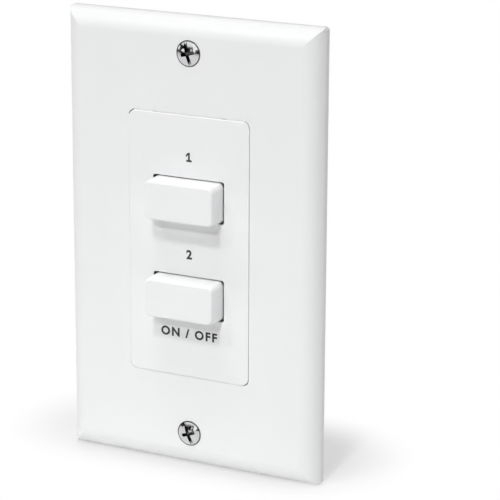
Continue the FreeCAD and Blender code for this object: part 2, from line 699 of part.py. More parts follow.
def terminal_pin():
    """Tongue under the wire, bent down behind the clamp and through the board."""
    y = clamp_front() + CLAMP_FLOOR
    tail = tail_offset()
    tongue = block(
        -TONGUE_WIDTH / 2, TONGUE_WIDTH / 2, y, y + TONGUE_THICKNESS, tail, CLAMP_HEIGHT / 2
    )
    shoulder = bar(TONGUE_WIDTH, BOARD_BACK, y + TONGUE_THICKNESS, TONGUE_THICKNESS, z=tail)
    leg_width = PIN_HOLE_R
    leg = bar(leg_width, BOARD_FRONT - TONGUE_TAIL, BOARD_BACK, TONGUE_THICKNESS, z=tail)
    return joined([tongue, shoulder, leg])


# ---- buttons ----------------------------------------------------------------------------
def tapered(width, height, corner_r, y_wide, y_narrow, draft):
    """Block that narrows by the draft angle from y_wide forward to y_narrow."""
    less = 2 * (y_wide - y_narrow) * math.tan(math.radians(draft))
    wide = rounded_wire(width, height, corner_r, y_wide)
    narrow = rounded_wire(width - less, height - less, corner_r, y_narrow)
    return Part.makeLoft([wide, narrow], True, True)


def stem_front():
    return BUTTON_FRONT + BUTTON_WALL + SOCKET_DEPTH - STEM_GRIP


def button():
    """Hollow cap with a square socket for the switch's stem."""
    spread = 2 * BUTTON_SKIRT * math.tan(math.radians(BUTTON_DRAFT))
    width = BUTTON_HOLE_WIDTH - 2 * BUTTON_GAP
    height = BUTTON_HOLE_HEIGHT - 2 * BUTTON_GAP
    head = tapered(width, height, BUTTON_CORNER_R, INSERT_FRONT, BUTTON_FRONT, BUTTON_DRAFT)
    skirt = slab(width, height, BUTTON_CORNER_R, INSERT_FRONT, BUTTON_BACK)
    body = head.fuse(skirt)
    body = body.makeFillet(BUTTON_EDGE_R, front_edges(body, BUTTON_FRONT))
    hollow = slab(
        width - 2 * BUTTON_WALL - spread,
        height - 2 * BUTTON_WALL - spread,
        BUTTON_CORNER_R / 2,
        BUTTON_FRONT + BUTTON_WALL,
        BUTTON_BACK,
    )
    socket_back = BUTTON_FRONT + BUTTON_WALL + SOCKET_DEPTH
    socket = bar(SOCKET_SIZE, BUTTON_FRONT + BUTTON_WALL / 2, socket_back, SOCKET_SIZE)
    bore_size = STEM_SIZE + 2 * SCREW_FIT
    bore = bar(bore_size, stem_front(), BUTTON_BACK, bore_size)
    return joined([body.cut(hollow), socket]).cut(bore)


# ---- latching switch --------------------------------------------------------------------
def track_path():
    """Corners of the latch track, in the plunger's top: rest, far end, notch, return."""
    rest = (0.0, PIN_TIP)
    far = (TRACK_REACH, TRACK_FRONT)
    notch = (0.0, TRACK_FRONT + TRACK_NOTCH)
    back = (-TRACK_REACH, TRACK_FRONT)
    return [rest, far, notch, back, rest]


def latch_track():
    """Heart-shaped groove that the latch pin's tip runs in."""
    z0, z1 = PLUNGER_TOP - TRACK_DEPTH, PLUNGER_TOP
    path = track_path()
    shapes = []
    for (xa, ya), (xb, yb) in zip(path, path[1:]):
        shapes.append(post(TRACK_HALF_WIDTH, z0, z1, xa, ya))
        length = math.hypot(xb - xa, yb - ya)
        leg = block(0.0, length, -TRACK_HALF_WIDTH, TRACK_HALF_WIDTH, z0, z1)
        leg.rotate(Vector(0, 0, 0), Vector(0, 0, 1), math.degrees(math.atan2(yb - ya, xb - xa)))
        shapes.append(moved(leg, x=xa, y=ya))
    return joined(shapes)


def carrier_front():
    return PLUNGER_FRONT + CARRIER_INSET


def plunger():
    """Slider with a square stem, a latch track on top and a carrier for the bridges."""
    stem = bar(STEM_SIZE, stem_front(), PLUNGER_FRONT, STEM_SIZE)
    body = bar(PLUNGER_WIDTH, PLUNGER_FRONT, PLUNGER_BACK, PLUNGER_HEIGHT)
    front = carrier_front()
    carrier = bar(CARRIER_WIDTH, front, front + CARRIER_LENGTH, CARRIER_HEIGHT)
    return joined([stem, body, carrier]).cut(latch_track())


def contact_bridges():
    """Bronze bridges at both ends of the carrier, which slide along the blades."""
    middle = carrier_front() + CARRIER_LENGTH / 2
    half = BRIDGE_LENGTH / 2
    span = 2 * BLADE_PITCH + BLADE_WIDTH
    face = BLADE_OFFSET - BLADE_GAP
    bridge = joined(
        [
            block(face - BRIDGE_THICKNESS, face, middle - half, middle + half, -span / 2, span / 2),
            block(
                CARRIER_WIDTH / 2,
                face - BRIDGE_THICKNESS,
                middle - BRIDGE_STEM / 2,
                middle + BRIDGE_STEM / 2,
                -BRIDGE_STEM / 2,
                BRIDGE_STEM / 2,
            ),
        ]
    )
    return group([bridge, turned(bridge, 180.0, 0.0, 0.0)])


def return_spring():
    """Coil spring between the plunger and the switch's base."""
    start = PLUNGER_BACK + SPRING_WIRE_R + SPRING_END_GAP
    length = SWITCH_BACK - SPRING_WIRE_R - SPRING_END_GAP - start
    pitch = length / SPRING_TURNS
    helix = Part.makeHelix(pitch, length, SPRING_R)
    slope = math.atan2(pitch, 2 * math.pi * SPRING_R)
    place = Vector(SPRING_R, 0, 0)
    along = Vector(0, math.cos(slope), math.sin(slope))
    circle = Part.Circle(place, along, SPRING_WIRE_R).toShape()
    circle.rotate(place, along, SPRING_SEAM_TURN)
    coil = helix.makePipeShell([Part.Wire([circle])], True, True)
    coil.rotate(Vector(0, 0, 0), Vector(1, 0, 0), -90)
    return moved(coil, y=start)


def switch_housing():
    """Moulded body of the switch, open at the back."""
    half_height = SWITCH_HEIGHT / 2
    body = bar(SWITCH_WIDTH, SWITCH_FRONT, SWITCH_BACK, SWITCH_HEIGHT)
    inner_width = SWITCH_WIDTH - 2 * SWITCH_WALL
    inner_height = SWITCH_HEIGHT - 2 * SWITCH_WALL
    inner_front = SWITCH_FRONT + SWITCH_WALL
    cavity = bar(inner_width, inner_front, SWITCH_BACK, inner_height)
    stem_hole = bar(STEM_SIZE + 2 * STEM_GAP, SWITCH_FRONT, inner_front, STEM_SIZE + 2 * STEM_GAP)
    slot_front = SWITCH_FRONT + CLIP_FRONT + CLIP_WIDTH / 2
    slot_back = slot_front + CLIP_WIDTH / 2 + CLIP_TONGUE_LENGTH + CLIP_SLOT_MARGIN
    slot_half = CLIP_SLOT_WIDTH / 2
    slot_bottom = half_height - SWITCH_WALL
    clip_slot = block(-slot_half, slot_half, slot_front, slot_back, slot_bottom, half_height)
    floor = -inner_height / 2
    bed_top = -PLUNGER_HEIGHT / 2 - PLUNGER_GAP
    bed_half = PLUNGER_WIDTH / 2
    rails = [block(-bed_half, bed_half, inner_front, SWITCH_BACK, floor, bed_top)]
    rail_top = -CARRIER_HEIGHT / 2 - PLUNGER_GAP
    for side in SIDES:
        x = side * (bed_half + PLUNGER_GAP + RAIL_WIDTH / 2)
        half = RAIL_WIDTH / 2
        rails.append(block(x - half, x + half, inner_front, SWITCH_BACK, floor, rail_top))
    shell = body.cut([cavity, stem_hole, clip_slot])
    return joined([shell] + rails)


def switch_base():
    """Back of the switch: holds the blades, the spring's seat and the pin's pivot."""
    plate = bar(SWITCH_WIDTH, SWITCH_BACK, BOARD_FRONT, SWITCH_HEIGHT)
    seat = rod(SPRING_SEAT_R, SWITCH_BACK - SPRING_SEAT, SWITCH_BACK)
    ledge_bottom = PIN_HEIGHT - PIN_R - PIN_FIT - LEDGE_THICKNESS
    ledge = block(
        -LEDGE_WIDTH / 2,
        LEDGE_WIDTH / 2,
        SWITCH_BACK - LEDGE_LENGTH,
        SWITCH_BACK,
        ledge_bottom,
        ledge_bottom + LEDGE_THICKNESS,
    )
    tools = [post(PIN_R + PIN_FIT, ledge_bottom, ledge_bottom + LEDGE_THICKNESS, 0.0, PIN_PIVOT)]
    for x, z in blade_places():
        tools.append(
            bar(BLADE_THICKNESS + 2 * BLADE_FIT, SWITCH_BACK, BOARD_FRONT, BLADE_WIDTH + 2 * BLADE_FIT, x, z)
        )
    return joined([plate, seat, ledge]).cut(tools)


def latch_pin():
    """Bent wire: one end turns in the base, the other runs in the plunger's track."""
    tip_z = PLUNGER_TOP - TRACK_DEPTH + TRACK_FLOOR_GAP
    pivot_z = PIN_HEIGHT - PIN_R - PIN_FIT - LEDGE_THICKNESS
    ends = [(PIN_TIP, tip_z), (PIN_PIVOT, pivot_z)]
    shapes = [rod(PIN_R, PIN_TIP, PIN_PIVOT, z=PIN_HEIGHT)]
    for y, low in ends:
        shapes.append(post(PIN_R, low, PIN_HEIGHT, 0.0, y))
        shapes.append(Part.makeSphere(PIN_R, Vector(0, y, PIN_HEIGHT)))
    return joined(shapes)


def latch_clip():
    """Spring-steel strap over the switch whose tongue holds the latch pin down."""
    top = SWITCH_HEIGHT / 2
    half = SWITCH_WIDTH / 2
    y0 = SWITCH_FRONT + CLIP_FRONT
    y1 = y0 + CLIP_WIDTH
    strip = block(-half - CLIP_THICKNESS, half + CLIP_THICKNESS, y0, y1, top, top + CLIP_THICKNESS)
    legs = []
    for x in (-half - CLIP_THICKNESS, half):
        legs.append(block(x, x + CLIP_THICKNESS, y0, y1, top - CLIP_LEG, top))
    tip = PIN_HEIGHT + PIN_R + CLIP_PIN_GAP
    y2 = y1 + CLIP_TONGUE_LENGTH
    outline = [
        (y1 - CLIP_THICKNESS, top + CLIP_THICKNESS),
        (y1 - CLIP_THICKNESS, top),
        (y2, tip),
        (y2, tip + CLIP_THICKNESS),
        (y1, top + CLIP_THICKNESS),
    ]
    points = [Vector(-CLIP_TONGUE_WIDTH / 2, y, z) for y, z in outline]
    tongue = Part.Face(Part.makePolygon(points + points[:1])).extrude(Vector(CLIP_TONGUE_WIDTH, 0, 0))
    return joined([strip] + legs + [tongue])


def contact_blades():
    """Fixed contacts, which go on through the base and the board as solder pins."""
    start = SWITCH_FRONT + BLADE_START
    tail_width = PIN_HOLE_R
    shapes = []
    for x, z in blade_places():
        blade = bar(BLADE_THICKNESS, start, BOARD_FRONT, BLADE_WIDTH, x, z)
        tail = bar(BLADE_THICKNESS, BOARD_FRONT, BOARD_BACK + BLADE_TAIL, tail_width, x, z)
        shapes.append(joined([blade, tail]))
    return group(shapes)


# ---- nodes ------------------------------------------------------------------------------
def all_nodes():
    nodes = {
        "wall_plate": wall_plate(),
        "plate_screws": plate_screws(),
        "insert": insert(),
        "insert_screws": insert_screws(),
        "mounting_strap": mounting_strap(),
        "box_screws": box_screws(),
        "screw_retainers": screw_retainers(),
        "board_spacers": board_spacers(),
        "spacer_screws": spacer_screws(),
        "circuit_board": circuit_board(),
        "board_screws": board_screws(),
        "terminal_screws": each_pole(terminal_screw),
        "wire_clamps": each_pole(wire_clamp),
        "terminal_pins": each_pole(terminal_pin),
    }
    for name, middle in BLOCKS.items():
        nodes[name + "_terminal_block"] = moved(terminal_block(name), z=middle)
    pieces = {
        "button": button,
        "plunger": plunger,
        "contact_bridges": contact_bridges,
        "return_spring": return_spring,
        "switch_housing": switch_housing,
        "switch_base": switch_base,
        "latch_pin": latch_pin,
        "latch_clip": latch_clip,
        "contact_blades": contact_blades,
    }
    for name, middle in SWITCHES.items():
        for piece, make in pieces.items():
            nodes[name + "_" + piece] = moved(make(), z=middle)
    return nodes


os.makedirs("parts", exist_ok=True)
for node, shape in all_nodes().items():
    if not shape.isValid():
        print("not valid:", node)
    shape.exportStep("parts/" + node + ".step")
    print(node, len(shape.Solids), round(shape.Volume, 1))
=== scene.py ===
import json
import math

import bmesh
import bpy
from mathutils import Matrix, Vector


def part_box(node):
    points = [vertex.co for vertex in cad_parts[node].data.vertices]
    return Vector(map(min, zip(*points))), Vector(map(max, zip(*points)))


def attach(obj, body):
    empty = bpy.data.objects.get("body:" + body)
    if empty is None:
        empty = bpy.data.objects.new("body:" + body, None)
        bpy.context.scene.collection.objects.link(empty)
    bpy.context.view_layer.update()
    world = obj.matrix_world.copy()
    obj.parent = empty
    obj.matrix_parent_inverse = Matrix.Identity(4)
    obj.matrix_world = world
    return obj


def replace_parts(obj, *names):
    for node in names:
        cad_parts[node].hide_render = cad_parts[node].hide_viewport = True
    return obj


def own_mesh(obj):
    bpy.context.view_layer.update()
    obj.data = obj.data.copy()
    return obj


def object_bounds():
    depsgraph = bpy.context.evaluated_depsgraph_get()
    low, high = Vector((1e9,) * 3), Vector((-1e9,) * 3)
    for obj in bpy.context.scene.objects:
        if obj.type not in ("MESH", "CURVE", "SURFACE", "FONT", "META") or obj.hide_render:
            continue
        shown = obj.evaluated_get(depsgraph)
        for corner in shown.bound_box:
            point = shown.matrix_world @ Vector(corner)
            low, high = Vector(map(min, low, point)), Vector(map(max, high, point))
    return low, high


# Speaker selector switch for a single-gang wall box: finishes, screw threads, printed labels, solder
# joints, the board's legend, return springs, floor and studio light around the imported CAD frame.
# Metres, +Z up, +Y into the wall.

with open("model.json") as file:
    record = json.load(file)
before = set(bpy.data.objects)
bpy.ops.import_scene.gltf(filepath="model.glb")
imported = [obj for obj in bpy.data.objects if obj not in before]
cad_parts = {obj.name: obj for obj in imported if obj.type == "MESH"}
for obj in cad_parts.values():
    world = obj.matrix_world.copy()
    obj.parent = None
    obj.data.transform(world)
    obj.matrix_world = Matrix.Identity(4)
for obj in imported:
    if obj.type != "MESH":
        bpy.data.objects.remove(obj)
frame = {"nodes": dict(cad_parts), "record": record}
cad_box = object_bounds()

MM = 0.001
ROOT = "switch_plate"
HIDDEN_GAP = 0.004 * MM  # between a printed or plated skin and the surface that it lies on
JOIN_DISTANCE = 0.0005 * MM  # corners of a CAD mesh that lie this near are one corner
WELD_DISTANCE = 0.002 * MM  # points of a grown shape that lie this near are one point

# ---- shader graph helpers ---------------------------------------------------------------
NOISE_RANGE = (0.3, 0.7)  # nearly all values of a noise texture lie in here


class Finish:
    """Node tree of one surface finish. Uniform values sit on the shader itself."""

    def __init__(self, name, colour, roughness, metallic=0.0, **inputs):
        self.material = bpy.data.materials.new(name)
        self.material.use_nodes = True
        self.material.diffuse_color = (*colour, 1.0)
        self.tree = self.material.node_tree
        self.shader = self.tree.nodes["Principled BSDF"]
        self.shader.inputs["Base Color"].default_value = (*colour, 1.0)
        self.shader.inputs["Roughness"].default_value = roughness
        self.shader.inputs["Metallic"].default_value = metallic
        for key, value in inputs.items():
            self.shader.inputs[key.replace("_", " ")].default_value = value
        self.place = self.node("ShaderNodeTexCoord").outputs["Object"]

    def node(self, kind, **settings):
        made = self.tree.nodes.new(kind)
        for key, value in settings.items():
            setattr(made, key, value)
        return made

    def feed(self, source, target):
        """Link an output, or set a plain number or vector."""
        if isinstance(source, bpy.types.NodeSocket):
            self.tree.links.new(source, target)
        else:
            target.default_value = source

    def math(self, operation, a, b=0.0):
        made = self.node("ShaderNodeMath", operation=operation)
        self.feed(a, made.inputs[0])
        self.feed(b, made.inputs[1])
        return made.outputs[0]

    def noise(self, per_metre, detail=3.0, stretch=(1.0, 1.0, 1.0), rough=0.5):
        stretched = self.node("ShaderNodeMapping")
        self.feed(self.place, stretched.inputs["Vector"])
        stretched.inputs["Scale"].default_value = stretch
        made = self.node("ShaderNodeTexNoise")
        self.feed(stretched.outputs[0], made.inputs["Vector"])
        made.inputs["Scale"].default_value = per_metre
        made.inputs["Detail"].default_value = detail
        made.inputs["Roughness"].default_value = rough
        return made.outputs[0]

    def spread(self, source, low, high, start=0.0, end=1.0):
        """Source read from start..end and spread over low..high."""
        made = self.node("ShaderNodeMapRange")
        self.feed(source, made.inputs["Value"])
        for key, value in (("From Min", start), ("From Max", end), ("To Min", low), ("To Max", high)):
            made.inputs[key].default_value = value
        return made.outputs[0]

    def vary(self, noise, low, high):
        """Noise spread over low..high."""
        return self.spread(noise, low, high, *NOISE_RANGE)

    def blend(self, factor, first, second):
        """Colour that goes from first to second with the factor."""
        # a Mix node takes its colours at inputs 6 and 7 and gives one at output 2
        made = self.node("ShaderNodeMix", data_type="RGBA")
        self.feed(factor, made.inputs["Factor"])
        for value, socket in ((first, made.inputs[6]), (second, made.inputs[7])):
            self.feed(value if isinstance(value, bpy.types.NodeSocket) else (*value, 1.0), socket)
        return made.outputs[2]

    def coords(self):
        made = self.node("ShaderNodeSeparateXYZ")
        self.feed(self.place, made.inputs[0])
        return made.outputs

    def colour(self, source):
        self.feed(source, self.shader.inputs["Base Color"])

    def roughness(self, source):
        self.feed(source, self.shader.inputs["Roughness"])

    def bump(self, *layers):
        """Layers of (height 0..1, depth in metres), laid one over another."""
        below = None
        for height, depth in layers:
            made = self.node("ShaderNodeBump")
            made.inputs["Strength"].default_value = 1.0
            made.inputs["Distance"].default_value = depth
            self.feed(height, made.inputs["Height"])
            if below:
                self.feed(below, made.inputs["Normal"])
            below = made.outputs[0]
        self.feed(below, self.shader.inputs["Normal"])


def shade(colour, factor):
    return tuple(min(1.0, c * factor) for c in colour)


# ---- finishes ---------------------------------------------------------------------------
# A pair gives where a tone starts and where it is full.
# painted shade in the button gaps and screw seats, and the darker line along the plate's top edge, blend
# towards this tone
PAINTED_DARK_TONE = (0.06, 0.06, 0.06)
GAP_SHADE = (0.06 * MM, 0.40 * MM)  # painted shade in the button gaps, by depth behind the insert's face
GAP_CORNER = (0.90 * MM, 0.20 * MM)  # inside a button's side, where its painted shade grows to full
GAP_WIDTH = 0.50 * MM  # outside a button's side, where its painted shade ends
SHADE_ABOVE = 0.3  # share of painted shade over and under a button, against its sides
SEAT_SHADE = (0.02 * MM, 0.10 * MM)  # painted shade in a screw seat, by depth behind the plate's face
SEAT_MARGIN = 0.50 * MM  # outside a screw's head, where the painted shade of its seat ends
TOP_EDGE_DARK = 0.40  # how much darker the plate is along its top edge
TOP_EDGE_REACH = 1.2 * MM  # how far below that edge it ends
TOP_EDGE_FALL = 3.0  # how fast it fades out on the way
HIGHLIGHT_TONE = (0.99, 0.99, 0.99)  # painted highlight: pale line along the insert's top edge
HIGHLIGHT_LINE = (0.360 * MM, 0.288 * MM)  # below that edge
PAINTED_SCREW_SHADE = 0.16  # painted shade in a plate screw, against its bare nickel
RIM_SHADE = (0.24 * MM, 0.06 * MM)  # painted shade inside the edge of a screw's head
RECESS_SHADE_DEPTH = (0.08 * MM, 0.45 * MM)  # painted shade in the driver's recess, below the oval top of a screw's head
HEAD_DEPTH = 1.20 * MM  # of a screw's head, behind the plate's face
RING_PITCH = 0.22 * MM  # turning rings on a screw's head
RING_DEPTH = 0.0007 * MM
TRACK_PITCH = 2.54 * MM
TRACK_WANDER = 3.0  # pitches that a copper track strays sideways
TRACK_EDGE = (0.16, 0.20)  # half a track's width with its soft edge, in pitches
TRACK_BREAK = 0.46  # noise value below which there is no track
COPPER_THICKNESS = 0.035 * MM
FLAT_FACING = 0.7  # the board's faces point further along Y than this, and its edges less


def from_screw(finish):
    """Distance from the nearer plate screw's axis."""
    x, _, z = finish.coords()
    _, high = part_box("plate_screws")
    away = finish.math("SUBTRACT", finish.math("ABSOLUTE", z), high[2] - high[0])
    square = finish.math("ADD", finish.math("POWER", x, 2.0), finish.math("POWER", away, 2.0))
    return finish.math("SQRT", square)


def painted_gap_shade(finish):
    """Share of painted shade on what lies in the button holes, behind the insert's face."""
    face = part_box("insert")[0][1]
    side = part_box("upper_button")[1][0]
    x, y, _ = finish.coords()
    sideways = finish.math("ABSOLUTE", x)
    behind = finish.spread(y, 0.0, 1.0, face + GAP_SHADE[0], face + GAP_SHADE[1])
    side_share = finish.spread(sideways, SHADE_ABOVE, 1.0, side - GAP_CORNER[0], side - GAP_CORNER[1])
    hole = finish.math("LESS_THAN", sideways, side + GAP_WIDTH)
    return finish.math("MULTIPLY", behind, finish.math("MULTIPLY", side_share, hole))


def painted_seat_shade(finish):
    """Share of painted shade in the plate's two screw seats, behind its face."""
    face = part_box("wall_plate")[0][1]
    head_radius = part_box("plate_screws")[1][0]
    behind = finish.spread(finish.coords()[1], 0.0, 1.0, face + SEAT_SHADE[0], face + SEAT_SHADE[1])
    seat = finish.math("LESS_THAN", from_screw(finish), head_radius + SEAT_MARGIN)
    return finish.math("MULTIPLY", behind, seat)


def plate_painted_dark(finish):
    """Share of darkening on the plate: full painted shade in the screw seats, a lighter darkening along the
    top edge.
    """
    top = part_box("wall_plate")[1][2]
    near_top = finish.spread(finish.coords()[2], 0.0, 1.0, top - TOP_EDGE_REACH, top)
    edge_dark = finish.math("MULTIPLY", finish.math("POWER", near_top, TOP_EDGE_FALL), TOP_EDGE_DARK)
    return finish.math("MAXIMUM", painted_seat_shade(finish), edge_dark)


def highlight_edge(finish):
    """Share of the painted highlight: a pale line along the insert's top edge."""
    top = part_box("insert")[1][2]
    return finish.spread(finish.coords()[2], 0.0, 1.0, top - HIGHLIGHT_LINE[0], top - HIGHLIGHT_LINE[1])


def moulded_plastic(
    name, colour, roughness, grain, grain_depth, mottle=0.012, painted_dark=None, highlight=None, **inputs
):
    """Injection-moulded plastic: fine spark texture from the mould and slow tone changes."""
    finish = Finish(name, colour, roughness, **inputs)
    slow = finish.noise(55.0, 2.0)
    fine = finish.noise(grain, 3.0, rough=0.62)
    tone = finish.blend(slow, shade(colour, 1 - mottle), shade(colour, 1 + mottle))
    # painted highlight: a paler tone where the mask says
    if highlight:
        tone = finish.blend(highlight(finish), tone, HIGHLIGHT_TONE)
    # painted shade in gaps and seats, and the plate's darker top edge, blended towards a dark tone
    if painted_dark:
        tone = finish.blend(painted_dark(finish), tone, PAINTED_DARK_TONE)
    finish.colour(tone)
    finish.roughness(finish.vary(fine, roughness - 0.06, roughness + 0.06))
    finish.bump((slow, 0.05 * MM), (fine, grain_depth))
    return finish.material


def painted_rim_shade(finish, radius):
    """Share of painted shade along the edge of a plate screw's head."""
    head_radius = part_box("plate_screws")[1][0]
    return finish.spread(radius, 0.0, 1.0, head_radius - RIM_SHADE[0], head_radius - RIM_SHADE[1])


def painted_recess_shade(finish, radius):
    """Share of painted shade in the driver's slot and cross, below the oval top of a plate screw's head."""
    (_, top, _), (head_radius, _, _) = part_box("plate_screws")
    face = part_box("wall_plate")[0][1]
    height = finish.coords()[1]
    fall = finish.math("POWER", finish.math("DIVIDE", radius, head_radius), 2.0)
    crown = finish.math("ADD", top, finish.math("MULTIPLY", fall, face - top))
    below = finish.spread(finish.math("SUBTRACT", height, crown), 0.0, 1.0, *RECESS_SHADE_DEPTH)
    in_head = finish.math("LESS_THAN", height, face + HEAD_DEPTH)
    return finish.math("MULTIPLY", below, in_head)


def bright_nickel():
    """Polished nickel with faint turning rings round each screw's own axis, and painted shade in its head.
    """
    colour = (0.70, 0.70, 0.71)
    finish = Finish("bright_nickel", colour, 0.10, metallic=1.0)
    radius = from_screw(finish)
    rings = finish.math("SINE", finish.math("MULTIPLY", radius, 2 * math.pi / RING_PITCH))
    fine = finish.noise(1500.0, 4.0)
    unshaded = finish.blend(finish.noise(300.0), shade(colour, 0.93), shade(colour, 1.05))
    # painted shade along the head's edge and in its driver's recess
    painted_shade = finish.math("MAXIMUM", painted_rim_shade(finish, radius), painted_recess_shade(finish, radius))
    finish.colour(finish.blend(painted_shade, unshaded, shade(colour, PAINTED_SCREW_SHADE)))
    finish.roughness(finish.vary(fine, 0.05, 0.15))
    finish.bump((rings, RING_DEPTH), (fine, 0.004 * MM))
    return finish.material


def plated_metal(name, colour, roughness, stretch=(1.0, 1.0, 1.0)):
    """Plated or rolled metal: fine scratches along one way, and cloudy changes of tone."""
    finish = Finish(name, colour, roughness, metallic=1.0)
    lines = finish.noise(2600.0, 3.0, stretch, 0.6)
    cloud = finish.noise(160.0, 4.0)
    finish.colour(finish.blend(cloud, shade(colour, 0.94), shade(colour, 1.06)))
    finish.roughness(finish.vary(lines, roughness - 0.1, roughness + 0.12))
    finish.bump((cloud, 0.01 * MM), (lines, 0.004 * MM))
    return finish.material


def zinc_sheet():
    """Zinc-plated steel sheet: rolling lines along its length and a faint blue and yellow cast."""
    finish = Finish("zinc_sheet", (0.62, 0.64, 0.67), 0.34, metallic=1.0)
    lines = finish.noise(900.0, 4.0, (1.0, 1.0, 0.06), 0.65)
    cloud = finish.noise(70.0, 5.0, rough=0.6)
    cast = finish.spread(cloud, 0.0, 1.0, 0.35, 0.65)
    finish.colour(finish.blend(cast, (0.58, 0.62, 0.68), (0.68, 0.67, 0.62)))
    finish.roughness(finish.vary(lines, 0.24, 0.44))
    finish.bump((lines, 0.006 * MM))
    return finish.material


def turned_brass():
    """Brass bar with fine tool lines round it."""
    colour = (0.80, 0.66, 0.36)
    finish = Finish("turned_brass", colour, 0.25, metallic=1.0)
    lines = finish.noise(2400.0, 2.0, (0.05, 1.0, 0.05))
    cloud = finish.noise(220.0, 3.0)
    finish.colour(finish.blend(cloud, shade(colour, 0.9), shade(colour, 1.05)))
    finish.roughness(finish.vary(lines, 0.18, 0.36))
    finish.bump((lines, 0.006 * MM))
    return finish.material


def vulcanised_fibre():
    """Red-brown fibre board with short flecks."""
    finish = Finish("vulcanised_fibre", (0.30, 0.10, 0.06), 0.75)
    flecks = finish.noise(1500.0, 5.0, (1.0, 1.0, 0.3), 0.7)
    pale = finish.spread(flecks, 0.0, 1.0, 0.35, 0.65)
    finish.colour(finish.blend(pale, (0.22, 0.07, 0.045), (0.38, 0.15, 0.09)))
    finish.bump((flecks, 0.02 * MM))
    return finish.material


def circuit_laminate():
    """Green solder mask over copper tracks on both faces, and bare laminate at the edges."""
    finish = Finish("circuit_laminate", (0.03, 0.19, 0.08), 0.32, Coat_Weight=0.35, Coat_Roughness=0.12)
    x = finish.coords()[0]
    wander = finish.math("MULTIPLY", finish.noise(95.0, 0.0, (1.0, 1.0, 0.25)), TRACK_WANDER)
    lane = finish.math("ADD", finish.math("DIVIDE", x, TRACK_PITCH), wander)
    across = finish.math("ABSOLUTE", finish.math("SUBTRACT", finish.math("FRACT", lane), 0.5))
    track = finish.spread(across, 1.0, 0.0, *TRACK_EDGE)
    bank = finish.math("GREATER_THAN", finish.noise(60.0, 0.0, (0.6, 1.0, 1.0)), TRACK_BREAK)
    track = finish.math("MULTIPLY", track, bank)
    weave = finish.noise(1800.0, 2.0)
    masked = finish.blend(track, (0.022, 0.16, 0.065), (0.045, 0.27, 0.11))
    facing = finish.node("ShaderNodeSeparateXYZ")
    finish.feed(finish.node("ShaderNodeNewGeometry").outputs["Normal"], facing.inputs[0])
    flat = finish.math("GREATER_THAN", finish.math("ABSOLUTE", facing.outputs[1]), FLAT_FACING)
    finish.colour(finish.blend(flat, (0.46, 0.47, 0.26), masked))
    finish.roughness(finish.vary(weave, 0.26, 0.42))
    finish.bump((track, COPPER_THICKNESS), (weave, 0.008 * MM))
    return finish.material


def mottled_phenolic():
    """Brown phenolic moulding with pale flecks of filler."""
    finish = Finish("mottled_phenolic", (0.13, 0.06, 0.03), 0.42)
    flecks = finish.noise(900.0, 5.0, rough=0.75)
    filler = finish.spread(flecks, 0.0, 1.0, 0.42, 0.72)
    finish.colour(finish.blend(filler, (0.10, 0.045, 0.025), (0.3, 0.17, 0.09)))
    finish.roughness(finish.vary(flecks, 0.36, 0.52))
    finish.bump((flecks, 0.01 * MM))
    return finish.material


def glass_filled_nylon():
    """Black nylon in which short glass fibres show as faint streaks."""
    finish = Finish("glass_filled_nylon", (0.018, 0.018, 0.02), 0.45)
    fibres = finish.noise(1600.0, 4.0, (1.0, 0.18, 0.6), 0.7)
    streaks = finish.spread(fibres, 0.0, 1.0, 0.45, 0.8)
    finish.colour(finish.blend(streaks, (0.014, 0.014, 0.016), (0.06, 0.06, 0.065)))
    finish.roughness(finish.vary(fibres, 0.36, 0.55))
    finish.bump((fibres, 0.012 * MM))
    return finish.material


def soft_solder():
    """Tin solder: bright, slightly wavy and a little dull where it cooled last."""
    finish = Finish("soft_solder", (0.74, 0.74, 0.73), 0.22, metallic=1.0)
    waves = finish.noise(700.0, 3.0)
    finish.colour(finish.blend(waves, (0.62, 0.62, 0.61), (0.82, 0.82, 0.82)))
    finish.roughness(finish.vary(waves, 0.14, 0.4))
    finish.bump((waves, 0.05 * MM))
    return finish.material


def label_ink():
    """Dark grey printing ink, a touch uneven."""
    finish = Finish("label_ink", (0.025, 0.025, 0.028), 0.5)
    patches = finish.noise(2500.0, 3.0)
    finish.colour(finish.blend(patches, (0.018, 0.018, 0.02), (0.035, 0.035, 0.038)))
    finish.bump((patches, 0.004 * MM))
    return finish.material


def silkscreen_ink():
    """White legend ink on the circuit board."""
    finish = Finish("silkscreen_ink", (0.78, 0.79, 0.76), 0.55)
    patches = finish.noise(1800.0, 4.0)
    finish.colour(finish.blend(patches, (0.68, 0.7, 0.66), (0.84, 0.85, 0.82)))
    finish.bump((patches, 0.006 * MM))
    return finish.material


